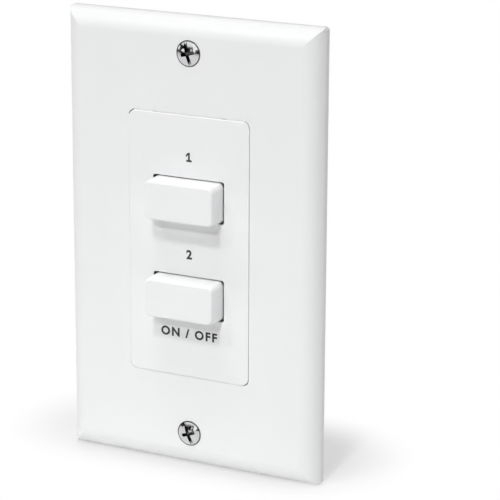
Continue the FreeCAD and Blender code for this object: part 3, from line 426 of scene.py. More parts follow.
def all_finishes():
    return {
        # the white plastics carry painted shade in their gaps and seats, the plate a darker top edge, the
        # insert a painted highlight
        "plate_plastic": moulded_plastic(
            "plate_plastic", (0.862, 0.866, 0.87), 0.38, 1900.0, 0.016 * MM, painted_dark=plate_painted_dark
        ),
        "insert_plastic": moulded_plastic(
            "insert_plastic", (0.868, 0.872, 0.876), 0.40, 2100.0, 0.014 * MM,
            painted_dark=painted_gap_shade, highlight=highlight_edge,
        ),
        "button_plastic": moulded_plastic(
            "button_plastic", (0.88, 0.884, 0.888), 0.33, 2600.0, 0.006 * MM, painted_dark=painted_gap_shade
        ),
        "bright_screw": bright_nickel(),
        "zinc_screw": plated_metal("zinc_screw", (0.60, 0.61, 0.625), 0.26, (1.0, 0.2, 1.0)),
        "strap_steel": zinc_sheet(),
        "retainer_fibre": vulcanised_fibre(),
        "spacer_brass": turned_brass(),
        "board_laminate": circuit_laminate(),
        "block_plastic": moulded_plastic(
            "block_plastic", (0.035, 0.22, 0.10), 0.42, 1500.0, 0.015 * MM, 0.06
        ),
        "terminal_metal": plated_metal("terminal_metal", (0.68, 0.67, 0.64), 0.28),
        "tin_contact": plated_metal("tin_contact", (0.73, 0.73, 0.72), 0.3, (1.0, 0.15, 1.0)),
        "bronze_contact": plated_metal("bronze_contact", (0.72, 0.45, 0.25), 0.28, (1.0, 0.2, 1.0)),
        "plunger_plastic": moulded_plastic(
            "plunger_plastic", (0.76, 0.75, 0.70), 0.36, 1400.0, 0.01 * MM, 0.02, Subsurface_Weight=0.15
        ),
        "switch_plastic": glass_filled_nylon(),
        "switch_base_plastic": mottled_phenolic(),
        "spring_steel": plated_metal("spring_steel", (0.60, 0.60, 0.61), 0.22, (1.0, 1.0, 0.3)),
        "solder": soft_solder(),
        "ink": label_ink(),
        "legend": silkscreen_ink(),
    }


def dress_nodes(finishes):
    """Give each CAD node the finish of its slot in the record."""
    for entry in frame["record"]["subparts"]:
        node = frame["nodes"][entry["node"]]
        for slot in node.material_slots:
            slot.material = finishes[entry["material_slot"]]
        if not node.material_slots:
            node.data.materials.append(finishes[entry["material_slot"]])


# ---- camera -----------------------------------------------------------------------------
FRAME_PIXELS = 500
SENSOR_WIDTH = 36.0
FOCAL_PIXELS = 2292.3
CAMERA_AZIMUTH = 0.4727  # radians, to the right of the plate's normal
CAMERA_ELEVATION = 0.2756
CAMERA_ROLL = 0.005
CAMERA_DISTANCE = 567.37 * MM
CAMERA_SHIFT_RIGHT = 12.669 * MM  # of the camera itself; its lens has no shift
CAMERA_SHIFT_UP = -1.742 * MM
CLIP_NEAR = 0.01
CLIP_FAR = 20.0


def make_camera():
    data = bpy.data.cameras.new("camera")
    data.sensor_width = SENSOR_WIDTH
    data.lens = FOCAL_PIXELS / FRAME_PIXELS * SENSOR_WIDTH
    data.clip_start = CLIP_NEAR
    data.clip_end = CLIP_FAR
    back = Vector((
        math.sin(CAMERA_AZIMUTH) * math.cos(CAMERA_ELEVATION),
        -math.cos(CAMERA_AZIMUTH) * math.cos(CAMERA_ELEVATION),
        math.sin(CAMERA_ELEVATION),
    ))
    level = Vector((0, 0, 1)).cross(back).normalized()
    upright = back.cross(level)
    right = math.cos(CAMERA_ROLL) * level + math.sin(CAMERA_ROLL) * upright
    up = math.cos(CAMERA_ROLL) * upright - math.sin(CAMERA_ROLL) * level
    place = right * CAMERA_SHIFT_RIGHT + up * CAMERA_SHIFT_UP + back * CAMERA_DISTANCE
    camera = bpy.data.objects.new("camera", data)
    camera.matrix_world = Matrix.Translation(place) @ Matrix((right, up, back)).transposed().to_4x4()
    bpy.context.scene.collection.objects.link(camera)
    bpy.context.scene.camera = camera


# ---- light and room ---------------------------------------------------------------------
AMBIENT = 0.09  # even light from all sides
LAMPS = {  # height above the plate's normal, turn to the right (degrees), distance, width (m), power (W)
    "low_lamp": (33.0, 7.0, 3.0, 0.30, 21.0),
    "high_lamp": (52.0, 9.0, 3.0, 0.45, 23.5),
    "top_lamp": (76.0, -10.0, 3.0, 1.20, 27.0),
    "left_lamp": (47.0, -30.0, 3.0, 0.45, 13.0),
    "right_rim_lamp": (20.0, 98.0, 3.0, 0.80, 8.0),
    "left_rim_lamp": (20.0, -100.0, 3.0, 0.80, 7.0),
    "rear_lamp": (45.0, -150.0, 3.0, 1.50, 20.0),
}
CEILING = (0.24, 0.40)  # upward share of a direction at which the white ceiling starts and is full
ROOM_FRONT = 0.01  # how bright the room looks to metal, in front and behind
ROOM_REAR = 1.0
ROOM_SIDE = 0.3  # share of a direction to the front or rear, up to which one turns into the other
CLUTTER_SCALE = 4.0  # noise that places the pale cards in front and the dimmer parts behind
CARD_EDGE = (0.52, 0.56)
CARD_LIGHT = 1.2
DIP_EDGE = (0.42, 0.50)
DIP_LIGHT = 0.4


def make_lamps():
    for name, (height, turn, away, width, power) in LAMPS.items():
        data = bpy.data.lights.new(name, "AREA")
        data.shape = "DISK"
        data.size = width
        data.energy = power
        lamp = bpy.data.objects.new(name, data)
        height, turn = math.radians(height), math.radians(turn)
        level = math.cos(height)
        way = Vector((math.sin(turn) * level, -math.cos(turn) * level, math.sin(height)))
        lamp.location = way * away
        lamp.rotation_euler = lamp.location.to_track_quat("Z", "Y").to_euler()
        lamp.visible_camera = False
        bpy.context.scene.collection.objects.link(lamp)


def mixed(tree, factor, first, second):
    """Shader that goes from first to second with the factor."""
    made = tree.nodes.new("ShaderNodeMixShader")
    for source, target in zip((factor, first, second), made.inputs):
        tree.links.new(source, target)
    return made.outputs[0]


def ranged(tree, source, start, end, low, high):
    """Number that eases from low to high while source goes from start to end."""
    made = tree.nodes.new("ShaderNodeMapRange")
    made.interpolation_type = "SMOOTHSTEP"
    tree.links.new(source, made.inputs["Value"])
    for key, value in (("From Min", start), ("From Max", end), ("To Min", low), ("To Max", high)):
        made.inputs[key].default_value = value
    return made.outputs[0]


def fed(tree, made, sources):
    """Node with each source, a socket or a plain value, on its inputs in turn."""
    for source, target in zip(sources, made.inputs):
        if isinstance(source, bpy.types.NodeSocket):
            tree.links.new(source, target)
        else:
            target.default_value = source
    return made


def number(tree, operation, first, second):
    made = tree.nodes.new("ShaderNodeMath")
    made.operation = operation
    return fed(tree, made, (first, second)).outputs[0]


def distance(tree, first, second):
    made = tree.nodes.new("ShaderNodeVectorMath")
    made.operation = "DISTANCE"
    return fed(tree, made, (first, second)).outputs["Value"]


def make_world():
    """Even light and a white background; metal mirrors a room that is white above and behind."""
    world = bpy.data.worlds.new("studio")
    world.use_nodes = True
    bpy.context.scene.world = world
    tree = world.node_tree
    light = tree.nodes["Background"]
    seen = tree.nodes.new("ShaderNodeBackground")
    mirrored = tree.nodes.new("ShaderNodeBackground")
    for shader, strength in ((light, AMBIENT), (seen, 1.0)):
        shader.inputs["Color"].default_value = (1.0, 1.0, 1.0, 1.0)
        shader.inputs["Strength"].default_value = strength
    outward_way = tree.nodes.new("ShaderNodeTexCoord").outputs["Generated"]
    way = tree.nodes.new("ShaderNodeSeparateXYZ")
    tree.links.new(outward_way, way.inputs[0])
    ceiling = ranged(tree, way.outputs[2], *CEILING, 0.0, 1.0)
    clutter = tree.nodes.new("ShaderNodeTexNoise")
    clutter.inputs["Scale"].default_value = CLUTTER_SCALE
    clutter.inputs["Detail"].default_value = 1.0
    tree.links.new(outward_way, clutter.inputs["Vector"])
    cards = ranged(tree, clutter.outputs[0], *CARD_EDGE, ROOM_FRONT, CARD_LIGHT)
    dips = ranged(tree, clutter.outputs[0], *DIP_EDGE, DIP_LIGHT, 1.0)
    rear = ranged(tree, way.outputs[1], -ROOM_SIDE, ROOM_SIDE, 0.0, ROOM_REAR)
    room = number(tree, "MAXIMUM", number(tree, "MULTIPLY", rear, dips), cards)
    tree.links.new(number(tree, "MAXIMUM", ceiling, room), mirrored.inputs["Color"])
    path = tree.nodes.new("ShaderNodeLightPath")
    clear = number(tree, "MAXIMUM", path.outputs["Is Camera Ray"], path.outputs["Is Transmission Ray"])
    lit = mixed(tree, clear, light.outputs[0], seen.outputs[0])
    whole = mixed(tree, path.outputs["Is Glossy Ray"], lit, mirrored.outputs[0])
    tree.links.new(whole, tree.nodes["World Output"].inputs["Surface"])


# ---- floor ------------------------------------------------------------------------------
FLOOR_HALF = 3.0
FLOOR_DROP = 0.02 * MM
FLOOR_COLOUR = 0.90  # what the floor gives back to the object
FLOOR_SEEN = 0.33  # with the lift, the open floor reaches white and its shadows stay pale
FLOOR_LIFT = 0.53
SHADOW_LINE = (-30.0 * MM, 20.0 * MM)  # the shadow fades with the distance from this line across
SHADOW_DEPTH = 14.0 * MM  # how far behind the plate's back the line lies
SHADOW_NEAR = 11.0 * MM
SHADOW_FAR = 33.0 * MM
CONTACT_REACH = 18.0 * MM  # painted contact shadow: soft dark line where the object meets the floor, from an ambient-occlusion node
CONTACT_MOST = 0.12
CONTACT_CURVE = 2.4
SHEET_NEAR = 0.20  # light and metal meet a white sheet that ends between these distances
SHEET_FAR = 1.10
FAR_SIDE = 0.1  # past the sheet, the dark front turns into the white rear over this on each side


def paint(tree, tone):
    made = tree.nodes.new("ShaderNodeBsdfDiffuse")
    made.inputs["Color"].default_value = (tone, tone, tone, 1.0)
    return made.outputs[0]


def glow(tree, strength):
    made = tree.nodes.new("ShaderNodeEmission")
    return fed(tree, made, ((1.0, 1.0, 1.0, 1.0), strength)).outputs[0]


def added(tree, first, second):
    made = tree.nodes.new("ShaderNodeAddShader")
    tree.links.new(first, made.inputs[0])
    tree.links.new(second, made.inputs[1])
    return made.outputs[0]


def white_floor(floor_z):
    """White that keeps the object's shadow near it and turns plain white further out."""
    material = bpy.data.materials.new("white_floor")
    material.use_nodes = True
    tree = material.node_tree
    tree.nodes.clear()
    new, link = tree.nodes.new, tree.links.new
    lifted = added(tree, paint(tree, FLOOR_SEEN), glow(tree, FLOOR_LIFT))
    bench = glow(tree, 0.0)
    place = new("ShaderNodeTexCoord").outputs["Object"]
    split = new("ShaderNodeSeparateXYZ")
    link(place, split.inputs[0])
    along = new("ShaderNodeClamp")
    link(split.outputs[0], along.inputs["Value"])
    along.inputs["Min"].default_value, along.inputs["Max"].default_value = SHADOW_LINE
    nearest = new("ShaderNodeCombineXYZ")
    link(along.outputs[0], nearest.inputs[0])
    nearest.inputs[1].default_value = SHADOW_DEPTH
    nearest.inputs[2].default_value = floor_z
    from_line = distance(tree, place, nearest.outputs[0])
    # painted contact shadow: the floor darkens towards black where the ambient-occlusion node finds the
    # object near
    open_sky = new("ShaderNodeAmbientOcclusion")
    open_sky.inputs["Distance"].default_value = CONTACT_REACH
    hidden = number(tree, "SUBTRACT", 1.0, open_sky.outputs["AO"])
    contact = number(tree, "MINIMUM", number(tree, "POWER", hidden, CONTACT_CURVE), CONTACT_MOST)
    shaded = mixed(tree, contact, lifted, bench)
    seen = mixed(tree, ranged(tree, from_line, SHADOW_NEAR, SHADOW_FAR, 0.0, 1.0), shaded, glow(tree, 1.0))
    reach = distance(tree, place, (0.0, 0.0, floor_z))
    room = glow(tree, ranged(tree, split.outputs[1], -FAR_SIDE, FAR_SIDE, ROOM_FRONT, ROOM_REAR))
    past_sheet = ranged(tree, reach, SHEET_NEAR, SHEET_FAR, 0.0, 1.0)
    mirrored = mixed(tree, past_sheet, lifted, room)
    returned = mixed(tree, past_sheet, paint(tree, FLOOR_COLOUR), bench)
    path = new("ShaderNodeLightPath")
    clear = number(tree, "MAXIMUM", path.outputs["Is Camera Ray"], path.outputs["Is Transmission Ray"])
    whole = mixed(tree, path.outputs["Is Glossy Ray"], mixed(tree, clear, returned, seen), mirrored)
    link(whole, new("ShaderNodeOutputMaterial").inputs["Surface"])
    return material


def make_floor():
    floor_z = cad_box[0][2] - FLOOR_DROP
    mesh = bpy.data.meshes.new("floor")
    corners = [(-1, -1), (1, -1), (1, 1), (-1, 1)]
    mesh.from_pydata([(x * FLOOR_HALF, y * FLOOR_HALF, floor_z) for x, y in corners], [], [(0, 1, 2, 3)])
    mesh.materials.append(white_floor(floor_z))
    floor = bpy.data.objects.new("floor", mesh)
    bpy.context.scene.collection.objects.link(floor)


# ---- geometry node helpers --------------------------------------------------------------
class Tree:
    """Geometry node tree with named sizes."""

    def __init__(self, name, sizes):
        self.group = bpy.data.node_groups.new(name, "GeometryNodeTree")
        sockets = self.group.interface
        sockets.new_socket("Geometry", in_out="INPUT", socket_type="NodeSocketGeometry")
        sockets.new_socket("Geometry", in_out="OUTPUT", socket_type="NodeSocketGeometry")
        for key, value in sizes.items():
            kind = "NodeSocketInt" if isinstance(value, int) else "NodeSocketFloat"
            sockets.new_socket(key, in_out="INPUT", socket_type=kind).default_value = value
        self.source = self.group.nodes.new("NodeGroupInput")

    def node(self, kind, links=(), **settings):
        made = self.group.nodes.new(kind)
        for key, value in settings.items():
            setattr(made, key, value)
        for key, value in dict(links).items():
            self.feed(value, made.inputs[key])
        return made

    def feed(self, source, target):
        if isinstance(source, bpy.types.NodeSocket):
            self.group.links.new(source, target)
        elif isinstance(source, str):
            self.group.links.new(self.source.outputs[source], target)
        else:
            target.default_value = source

    def math(self, operation, a, b=0.0):
        return self.node("ShaderNodeMath", {0: a, 1: b}, operation=operation).outputs[0]

    def finish(self, geometry, material):
        """Realize, shade smooth, set the material and hand the geometry out."""
        real = self.node("GeometryNodeRealizeInstances", {"Geometry": geometry})
        smooth = self.node("GeometryNodeSetShadeSmooth", {"Geometry": real.outputs[0]})
        painted = self.node("GeometryNodeSetMaterial", {
            "Geometry": smooth.outputs[0],
            "Material": material,
        })
        out = self.group.nodes.new("NodeGroupOutput")
        self.group.links.new(painted.outputs[0], out.inputs[0])


def outward(work):
    """Turn every face of closed solids outwards."""
    bmesh.ops.recalc_face_normals(work, faces=work.faces)


def grown(name, tree, sizes, base):
    """Plain mesh that a geometry node tree makes of a base, with these sizes and faces turned outwards."""
    holder = bpy.data.objects.new(name, base)
    bpy.context.scene.collection.objects.link(holder)
    modifier = holder.modifiers.new("shape", "NODES")
    modifier.node_group = tree.group
    for item in tree.group.interface.items_tree:
        if item.in_out == "INPUT" and item.name in sizes:
            modifier[item.identifier] = sizes[item.name]
    bpy.context.view_layer.update()
    evaluated = holder.evaluated_get(bpy.context.evaluated_depsgraph_get())
    mesh = bpy.data.meshes.new_from_object(evaluated)
    bpy.data.objects.remove(holder)
    work = bmesh.new()
    work.from_mesh(mesh)
    outward(work)
    work.to_mesh(mesh)
    work.free()
    mesh.name = name
    return mesh


def piece(name, mesh):
    """Piece that rides on the plate's body."""
    made = bpy.data.objects.new(name, mesh)
    bpy.context.scene.collection.objects.link(made)
    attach(made, ROOT)
    return made


def merged(node):
    """A CAD node's mesh as a bmesh, with its loose triangles joined."""
    work = bmesh.new()
    work.from_mesh(frame["nodes"][node].data)
    bmesh.ops.remove_doubles(work, verts=work.verts, dist=JOIN_DISTANCE)
    return work


def written(work, name):
    """New mesh from a bmesh, which is freed."""
    mesh = bpy.data.meshes.new(name)
    work.to_mesh(mesh)
    work.free()
    return mesh


def crease(work, degrees):
    """Smooth faces whose edges stay sharp past an angle."""
    limit = math.radians(degrees)
    for face in work.faces:
        face.smooth = True
    for edge in work.edges:
        edge.smooth = len(edge.link_faces) == 2 and edge.calc_face_angle(0.0) < limit


# ---- screw threads ----------------------------------------------------------------------
THREAD_PITCH = 0.794 * MM
THREAD_DEPTH = 0.38 * MM
THREAD_RADIUS = 1.74 * MM
THREAD_CREST = 1.25  # how much steeper a flank is than a plain V, which leaves the crest flat
THREAD_TIP = 0.9 * MM  # length over which a screw's end tapers
TIP_RADIUS = 0.62  # at the very end, against the whole thread
TIP_SLOPE = 0.45  # what that share gains over the length of the taper
TIP_CLOSE = 4000.0  # so steep that only the last ring of points closes the end
THREAD_AROUND = 36
THREAD_ROWS_PER_TURN = 8
HEAD_CREASE = 28.0  # degrees
PLATE_SCREW_CUT = 0.60 * MM  # in front of the strap, where a plate screw's thread takes over
PLATE_SCREW_LAP = 0.40 * MM  # how far the thread reaches into the head that is cut there
BOX_SCREW_CUT = 0.45 * MM  # behind the fibre retainer
BOX_SCREW_LAP = 0.15 * MM


def thread_tree(material):
    """Two rods along +Y whose wall rises and falls in a helix, with a tapered end.

    Each pair of screws gives its own start, length, spacing and rows.
    """
    sizes = {
        "Outer radius": THREAD_RADIUS,
        "Depth": THREAD_DEPTH,
        "Pitch": THREAD_PITCH,
        "Start": 0.0,
        "Length": 10.0 * MM,
        "Tip": THREAD_TIP,
        "Spacing": 80.0 * MM,
        "Around": THREAD_AROUND,
        "Rows": 100,
    }
    tree = Tree("screw_thread", sizes)
    grid = tree.node("GeometryNodeMeshGrid", {
        "Size X": 1.0,
        "Size Y": 1.0,
        "Vertices X": "Around",
        "Vertices Y": "Rows",
    })
    here = tree.node("ShaderNodeSeparateXYZ", {0: tree.node("GeometryNodeInputPosition").outputs[0]})
    round_share = tree.math("ADD", here.outputs[0], 0.5)
    along_share = tree.math("ADD", here.outputs[1], 0.5)
    angle = tree.math("MULTIPLY", round_share, 2 * math.pi)
    along = tree.math("MULTIPLY", along_share, "Length")
    phase = tree.math("FRACT", tree.math("ADD", tree.math("DIVIDE", along, "Pitch"), round_share))
    groove = tree.math("ABSOLUTE", tree.math("SUBTRACT", tree.math("MULTIPLY", phase, 2.0), 1.0))
    crest = tree.math("MINIMUM", tree.math("MULTIPLY", groove, THREAD_CREST), 1.0)
    cut = tree.math("MULTIPLY", tree.math("SUBTRACT", 1.0, crest), "Depth")
    wall = tree.math("SUBTRACT", "Outer radius", cut)
    left = tree.math("DIVIDE", tree.math("SUBTRACT", "Length", along), "Tip")
    taper = tree.math("MINIMUM", tree.math("ADD", tree.math("MULTIPLY", left, TIP_SLOPE), TIP_RADIUS), 1.0)
    closing = tree.math("MINIMUM", tree.math("MULTIPLY", left, TIP_CLOSE), 1.0)
    reach = tree.math("MULTIPLY", wall, tree.math("MULTIPLY", closing, taper))
    spot = tree.node("ShaderNodeCombineXYZ", {
        0: tree.math("MULTIPLY", reach, tree.math("COSINE", angle)),
        1: tree.math("ADD", along, "Start"),
        2: tree.math("MULTIPLY", reach, tree.math("SINE", angle)),
    })
    bent = tree.node("GeometryNodeSetPosition", {"Geometry": grid.outputs[0], "Position": spot.outputs[0]})
    closed = tree.node("GeometryNodeMergeByDistance", {
        "Geometry": bent.outputs[0],
        "Distance": WELD_DISTANCE,
    })
    half = tree.math("MULTIPLY", "Spacing", 0.5)
    low = tree.node("ShaderNodeCombineXYZ", {2: tree.math("MULTIPLY", half, -1.0)})
    step = tree.node("ShaderNodeCombineXYZ", {2: "Spacing"})
    places = tree.node("GeometryNodeMeshLine", {
        "Count": 2,
        "Start Location": low.outputs[0],
        "Offset": step.outputs[0],
    })
    copies = tree.node("GeometryNodeInstanceOnPoints", {
        "Points": places.outputs[0],
        "Instance": closed.outputs[0],
    })
    tree.finish(copies.outputs[0], material)
    return tree


def cut_behind(work, depth):
    """Take away all that lies behind a depth, and close the solids where they are cut."""
    everything = work.verts[:] + work.edges[:] + work.faces[:]
    result = bmesh.ops.bisect_plane(
        work, geom=everything, plane_co=(0, depth, 0), plane_no=(0, 1, 0), clear_outer=True
    )
    rim = [item for item in result["geom_cut"] if isinstance(item, bmesh.types.BMEdge)]
    bmesh.ops.holes_fill(work, edges=rim)
    crease(work, HEAD_CREASE)


def threaded_screws(tree, node, name, cut, lap, material_slot):
    """Screws whose heads keep the CAD shape and whose shanks carry a real thread from depth cut on."""
    start = cut - lap
    low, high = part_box(node)
    head_radius = (high[0] - low[0]) / 2
    length = high[1] - start
    spacing = (high[2] - low[2]) - 2 * head_radius
    sizes = {
        "Start": start,
        "Length": length,
        "Spacing": spacing,
        "Rows": int(length / THREAD_PITCH * THREAD_ROWS_PER_TURN),
    }
    shanks = grown(name + "_shanks", tree, sizes, bpy.data.meshes.new(name + "_base"))
    work = merged(node)
    cut_behind(work, cut)
    work.from_mesh(shanks)
    for face in work.faces:
        face.material_index = 0
    mesh = written(work, name)
    mesh.materials.append(FINISHES[material_slot])
    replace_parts(piece(name, mesh), node)


def make_threaded_screws():
    strap_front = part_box("mounting_strap")[0][1]
    retainer_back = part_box("screw_retainers")[1][1]
    tree = thread_tree(FINISHES["bright_screw"])
    threaded_screws(
        tree, "plate_screws", "threaded_plate_screws",
        strap_front - PLATE_SCREW_CUT, PLATE_SCREW_LAP, "bright_screw",
    )
    threaded_screws(
        tree, "box_screws", "threaded_box_screws",
        retainer_back + BOX_SCREW_CUT, BOX_SCREW_LAP, "zinc_screw",
    )


# ---- printed labels ---------------------------------------------------------------------
LABEL_THICKNESS = 0.012 * MM
LABEL_WEIGHT = 0.115 * MM  # how far each stroke is widened on both sides
TYPE_HEIGHT = 3.1 * MM
TYPE_CURVE = 6  # steps along each curve of a letter
LABELS = {  # text, middle across, middle up, spacing of the letters
    "numeral_two": ("2", 0.2 * MM, -1.65 * MM, 1.0),
    "on_off_legend": ("ON / OFF", 0.1 * MM, -22.1 * MM, 1.25),
}
ONE_MIDDLE = (0.2 * MM, 22.9 * MM)
ONE_HEIGHT = 2.3 * MM
ONE_STROKE = 0.48 * MM
ONE_FOOT = 1.5 * MM  # width of the bar that the figure stands on
ONE_FLAG = 0.62 * MM  # how far the flag reaches out, and down, from the stem
ONE_FLAG_STROKE = 1.2 * ONE_STROKE  # measured upright


def figure_one():
    """A figure 1 with a flag and a foot, as a thin mesh in the XY plane, centred on its own middle."""
    stem, foot = ONE_STROKE / 2, ONE_FOOT / 2
    base, top = -ONE_HEIGHT / 2, ONE_HEIGHT / 2
    outline = [
        (-foot, base), (foot, base), (foot, base + ONE_STROKE), (stem, base + ONE_STROKE),
        (stem, top), (-stem, top), (-stem - ONE_FLAG, top - ONE_FLAG),
        (-stem - ONE_FLAG, top - ONE_FLAG - ONE_FLAG_STROKE), (-stem, top - ONE_FLAG_STROKE),
        (-stem, base + ONE_STROKE), (-foot, base + ONE_STROKE),
    ]
    work = bmesh.new()
    back = work.faces.new([work.verts.new((x, y, -LABEL_THICKNESS / 2)) for x, y in outline])
    front = bmesh.ops.extrude_face_region(work, geom=[back], use_keep_orig=True)["geom"]
    raised = [item for item in front if isinstance(item, bmesh.types.BMVert)]
    bmesh.ops.translate(work, vec=(0, 0, LABEL_THICKNESS), verts=raised)
    outward(work)
    return written(work, "numeral_one")


def flat_text(name, text, size, spacing=1.0):
    """Lettering in the XY plane as a thin mesh, centred on its own middle."""
    curve = bpy.data.curves.new(name, "FONT")
    curve.body = text
    curve.size = size
    curve.space_character = spacing
    curve.extrude = LABEL_THICKNESS / 2
    curve.offset = LABEL_WEIGHT
    curve.resolution_u = TYPE_CURVE
    holder = bpy.data.objects.new(name, curve)
    bpy.context.scene.collection.objects.link(holder)
    bpy.context.view_layer.update()
    mesh = bpy.data.meshes.new_from_object(holder.evaluated_get(bpy.context.evaluated_depsgraph_get()))
    bpy.data.objects.remove(holder)
    across = [v.co.x for v in mesh.vertices]
    upward = [v.co.y for v in mesh.vertices]
    middle = Vector(((min(across) + max(across)) / 2, (min(upward) + max(upward)) / 2, 0))
    mesh.transform(Matrix.Translation(-middle))
    return mesh


def make_labels():
    """Numerals over the buttons and a plain legend under them, printed on the insert."""
    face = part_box("insert")[0][1]
    to_front = Matrix.Rotation(math.radians(90), 4, "X")
    printed = {"numeral_one": (figure_one(), *ONE_MIDDLE)}
    for name, (text, x, z, spacing) in LABELS.items():
        printed[name] = (flat_text(name, text, TYPE_HEIGHT, spacing), x, z)
    for name, (mesh, x, z) in printed.items():
        place = Matrix.Translation((x, face - HIDDEN_GAP - LABEL_THICKNESS / 2, z))
        mesh.transform(place @ to_front)
        mesh.materials.clear()
        mesh.materials.append(FINISHES["ink"])
        piece(name, mesh)


# ---- circuit board ----------------------------------------------------------------------
PAD_RADIUS = 1.15 * MM
PIN_HALF = 0.25 * MM  # half the thickness of a terminal pin
SOLDER_RISE = 0.75 * MM
SOLDER_HOLLOW = 2.2  # how deep the hollow side of a solder cone is; 1 is a straight side
SOLDER_AROUND = 20
SOLDER_ROWS = 9
PRINT_THICKNESS = 0.015 * MM
PRINT_LINE = 0.18 * MM
PRINT_MARGIN = 0.45 * MM  # from a block or a row of pads to the line printed round it
MARK_HEIGHT = 2.4 * MM
MARK_STEP = 1.7 * MM  # from a block to the middle of the marks beside it


def solder_tree(material):
    """Solder cone with hollow sides on each point."""
    sizes = {"Pad radius": PAD_RADIUS, "Rise": SOLDER_RISE, "Way": 1.0}
    tree = Tree("solder_joint", sizes)
    grid = tree.node("GeometryNodeMeshGrid", {
        "Size X": 1.0,
        "Size Y": 1.0,
        "Vertices X": SOLDER_AROUND,
        "Vertices Y": SOLDER_ROWS,
    })
    here = tree.node("ShaderNodeSeparateXYZ", {0: tree.node("GeometryNodeInputPosition").outputs[0]})
    angle = tree.math("MULTIPLY", tree.math("ADD", here.outputs[0], 0.5), 2 * math.pi)
    share = tree.math("ADD", here.outputs[1], 0.5)
    inward = tree.math("SUBTRACT", 1.0, share)
    reach = tree.math("MULTIPLY", "Pad radius", inward)
    climb = tree.math("MULTIPLY", "Rise", tree.math("POWER", share, SOLDER_HOLLOW))
    spot = tree.node("ShaderNodeCombineXYZ", {
        0: tree.math("MULTIPLY", reach, tree.math("COSINE", angle)),
        1: tree.math("MULTIPLY", climb, "Way"),
        2: tree.math("MULTIPLY", reach, tree.math("SINE", angle)),
    })
    cone = tree.node("GeometryNodeSetPosition", {"Geometry": grid.outputs[0], "Position": spot.outputs[0]})
    closed = tree.node("GeometryNodeMergeByDistance", {
        "Geometry": cone.outputs[0],
        "Distance": WELD_DISTANCE,
    })
    copies = tree.node("GeometryNodeInstanceOnPoints", {
        "Points": "Geometry",
        "Instance": closed.outputs[0],
    })
    tree.finish(copies.outputs[0], material)
    return tree


def solid_corners(node):
    """Lowest and highest corner of each separate solid of a node, from its own mesh."""
    work = merged(node)
    seen = set()
    corners = []
    for start in work.verts:
        if start in seen:
            continue
        island, queue = [], [start]
        seen.add(start)
        while queue:
            vert = queue.pop()
            island.append(vert)
            for edge in vert.link_edges:
                other = edge.other_vert(vert)
                if other not in seen:
                    seen.add(other)
                    queue.append(other)
        low = Vector([min(v.co[i] for v in island) for i in range(3)])
        high = Vector([max(v.co[i] for v in island) for i in range(3)])
        corners.append((low, high))
    work.free()
    return corners


def make_solder():
    """Solder joints: the blades' on the back of the board, the terminals' on its front."""
    tree = solder_tree(FINISHES["solder"])
    front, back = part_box("circuit_board")[0][1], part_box("circuit_board")[1][1]
    rear = []
    for side in ("upper", "lower"):
        for low, high in solid_corners(side + "_contact_blades"):
            rear.append(Vector(((low.x + high.x) / 2, back + HIDDEN_GAP, (low.z + high.z) / 2)))
    ahead = []
    upper_block_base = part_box("upper_terminal_block")[0][2]
    for low, high in solid_corners("terminal_pins"):
        # a pin of the upper block goes through the board at its lower end, the others at their upper end
        tail = low.z + PIN_HALF if (low.z + high.z) / 2 > upper_block_base else high.z - PIN_HALF
        ahead.append(Vector(((low.x + high.x) / 2, front - HIDDEN_GAP, tail)))
    for name, points, way in (("rear_solder_joints", rear, 1.0), ("front_solder_joints", ahead, -1.0)):
        base = bpy.data.meshes.new(name + "_points")
        base.from_pydata(points, [], [])
        piece(name, grown(name, tree, {"Way": way}, base))


def printed_line(work, low, high, depth):
    """Thin box between two corners (x, z), at a depth."""
    depths = (depth, depth + PRINT_THICKNESS)
    corners = [(x, y, z) for x in (low[0], high[0]) for y in depths for z in (low[1], high[1])]
    bmesh.ops.convex_hull(work, input=[work.verts.new(corner) for corner in corners])


def printed_frame(work, low, high, depth, margin=PRINT_MARGIN):
    """Rectangle of printed lines round the corners low and high (x, z)."""
    left, right = low[0] - margin, high[0] + margin
    base, top = low[1] - margin, high[1] + margin
    for x in (left, right):
        printed_line(work, (x - PRINT_LINE / 2, base), (x + PRINT_LINE / 2, top), depth)
    for z in (base, top):
        ends = (left + PRINT_LINE / 2, right - PRINT_LINE / 2)
        printed_line(work, (ends[0], z - PRINT_LINE / 2), (ends[1], z + PRINT_LINE / 2), depth)


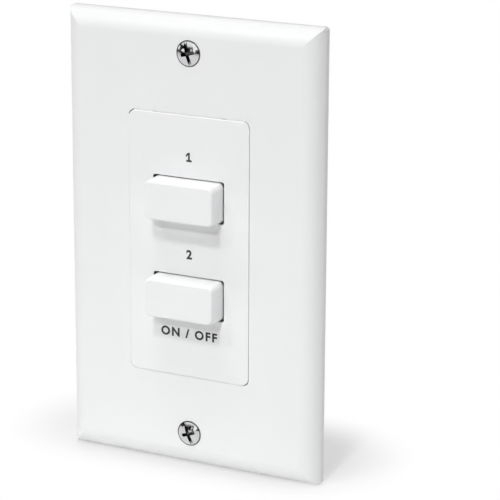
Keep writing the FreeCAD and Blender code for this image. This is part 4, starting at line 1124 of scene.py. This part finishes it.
def make_board_print():
    """White legend on the board's back: frames round the blocks and the blades, polarity marks, numbers."""
    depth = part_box("circuit_board")[1][1] + HIDDEN_GAP
    to_back = Matrix.Rotation(math.radians(180), 4, "Z") @ Matrix.Rotation(math.radians(90), 4, "X")
    work = bmesh.new()
    marks = []
    screws = sorted(((low.x + high.x) / 2, low.z) for low, high in solid_corners("terminal_screws"))
    for side in ("upper", "middle", "lower"):
        low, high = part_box(side + "_terminal_block")
        printed_frame(work, (low[0], low[2]), (high[0], high[2]), depth)
        mark_z = low[2] - MARK_STEP if side == "lower" else high[2] + MARK_STEP
        poles = [x for x, z in screws if low[2] < z < high[2]]
        marks += [("+-"[index % 2], x, mark_z) for index, x in enumerate(poles)]
    for side, figure in (("upper", "1"), ("lower", "2")):
        low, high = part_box(side + "_contact_blades")
        marks.append((figure, 0.0, (low[2] + high[2]) / 2))
        for row in (-high[0], high[0]):
            printed_frame(work, (row, low[2]), (row, high[2]), depth, PAD_RADIUS + PRINT_MARGIN)
    for text, x, z in marks:
        mesh = flat_text("mark", text, MARK_HEIGHT)
        mesh.transform(Matrix.Translation((x, depth + LABEL_THICKNESS / 2, z)) @ to_back)
        work.from_mesh(mesh)
    outward(work)
    mesh = written(work, "board_print")
    mesh.materials.append(FINISHES["legend"])
    piece("board_print", mesh)


# ---- return springs ---------------------------------------------------------------------
COIL_CREASE = 60.0  # degrees


def make_return_springs():
    """The CAD coils again, as pieces with meshes of their own and creased shading."""
    for joint in frame["record"]["behaviour"]["joints"]:
        for deforming in joint.get("deforming_nodes", []):
            node = deforming["node"]
            work = merged(node)
            crease(work, COIL_CREASE)
            mesh = written(work, node + "_coil")
            mesh.materials.append(FINISHES["spring_steel"])
            coil = piece(node + "_coil", mesh)
            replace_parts(coil, node)
            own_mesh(coil)


bpy.context.scene.view_settings.view_transform = "Standard"
make_camera()
make_world()
make_lamps()
make_floor()
FINISHES = all_finishes()
dress_nodes(FINISHES)
make_threaded_screws()
make_labels()
make_solder()
make_board_print()
make_return_springs()
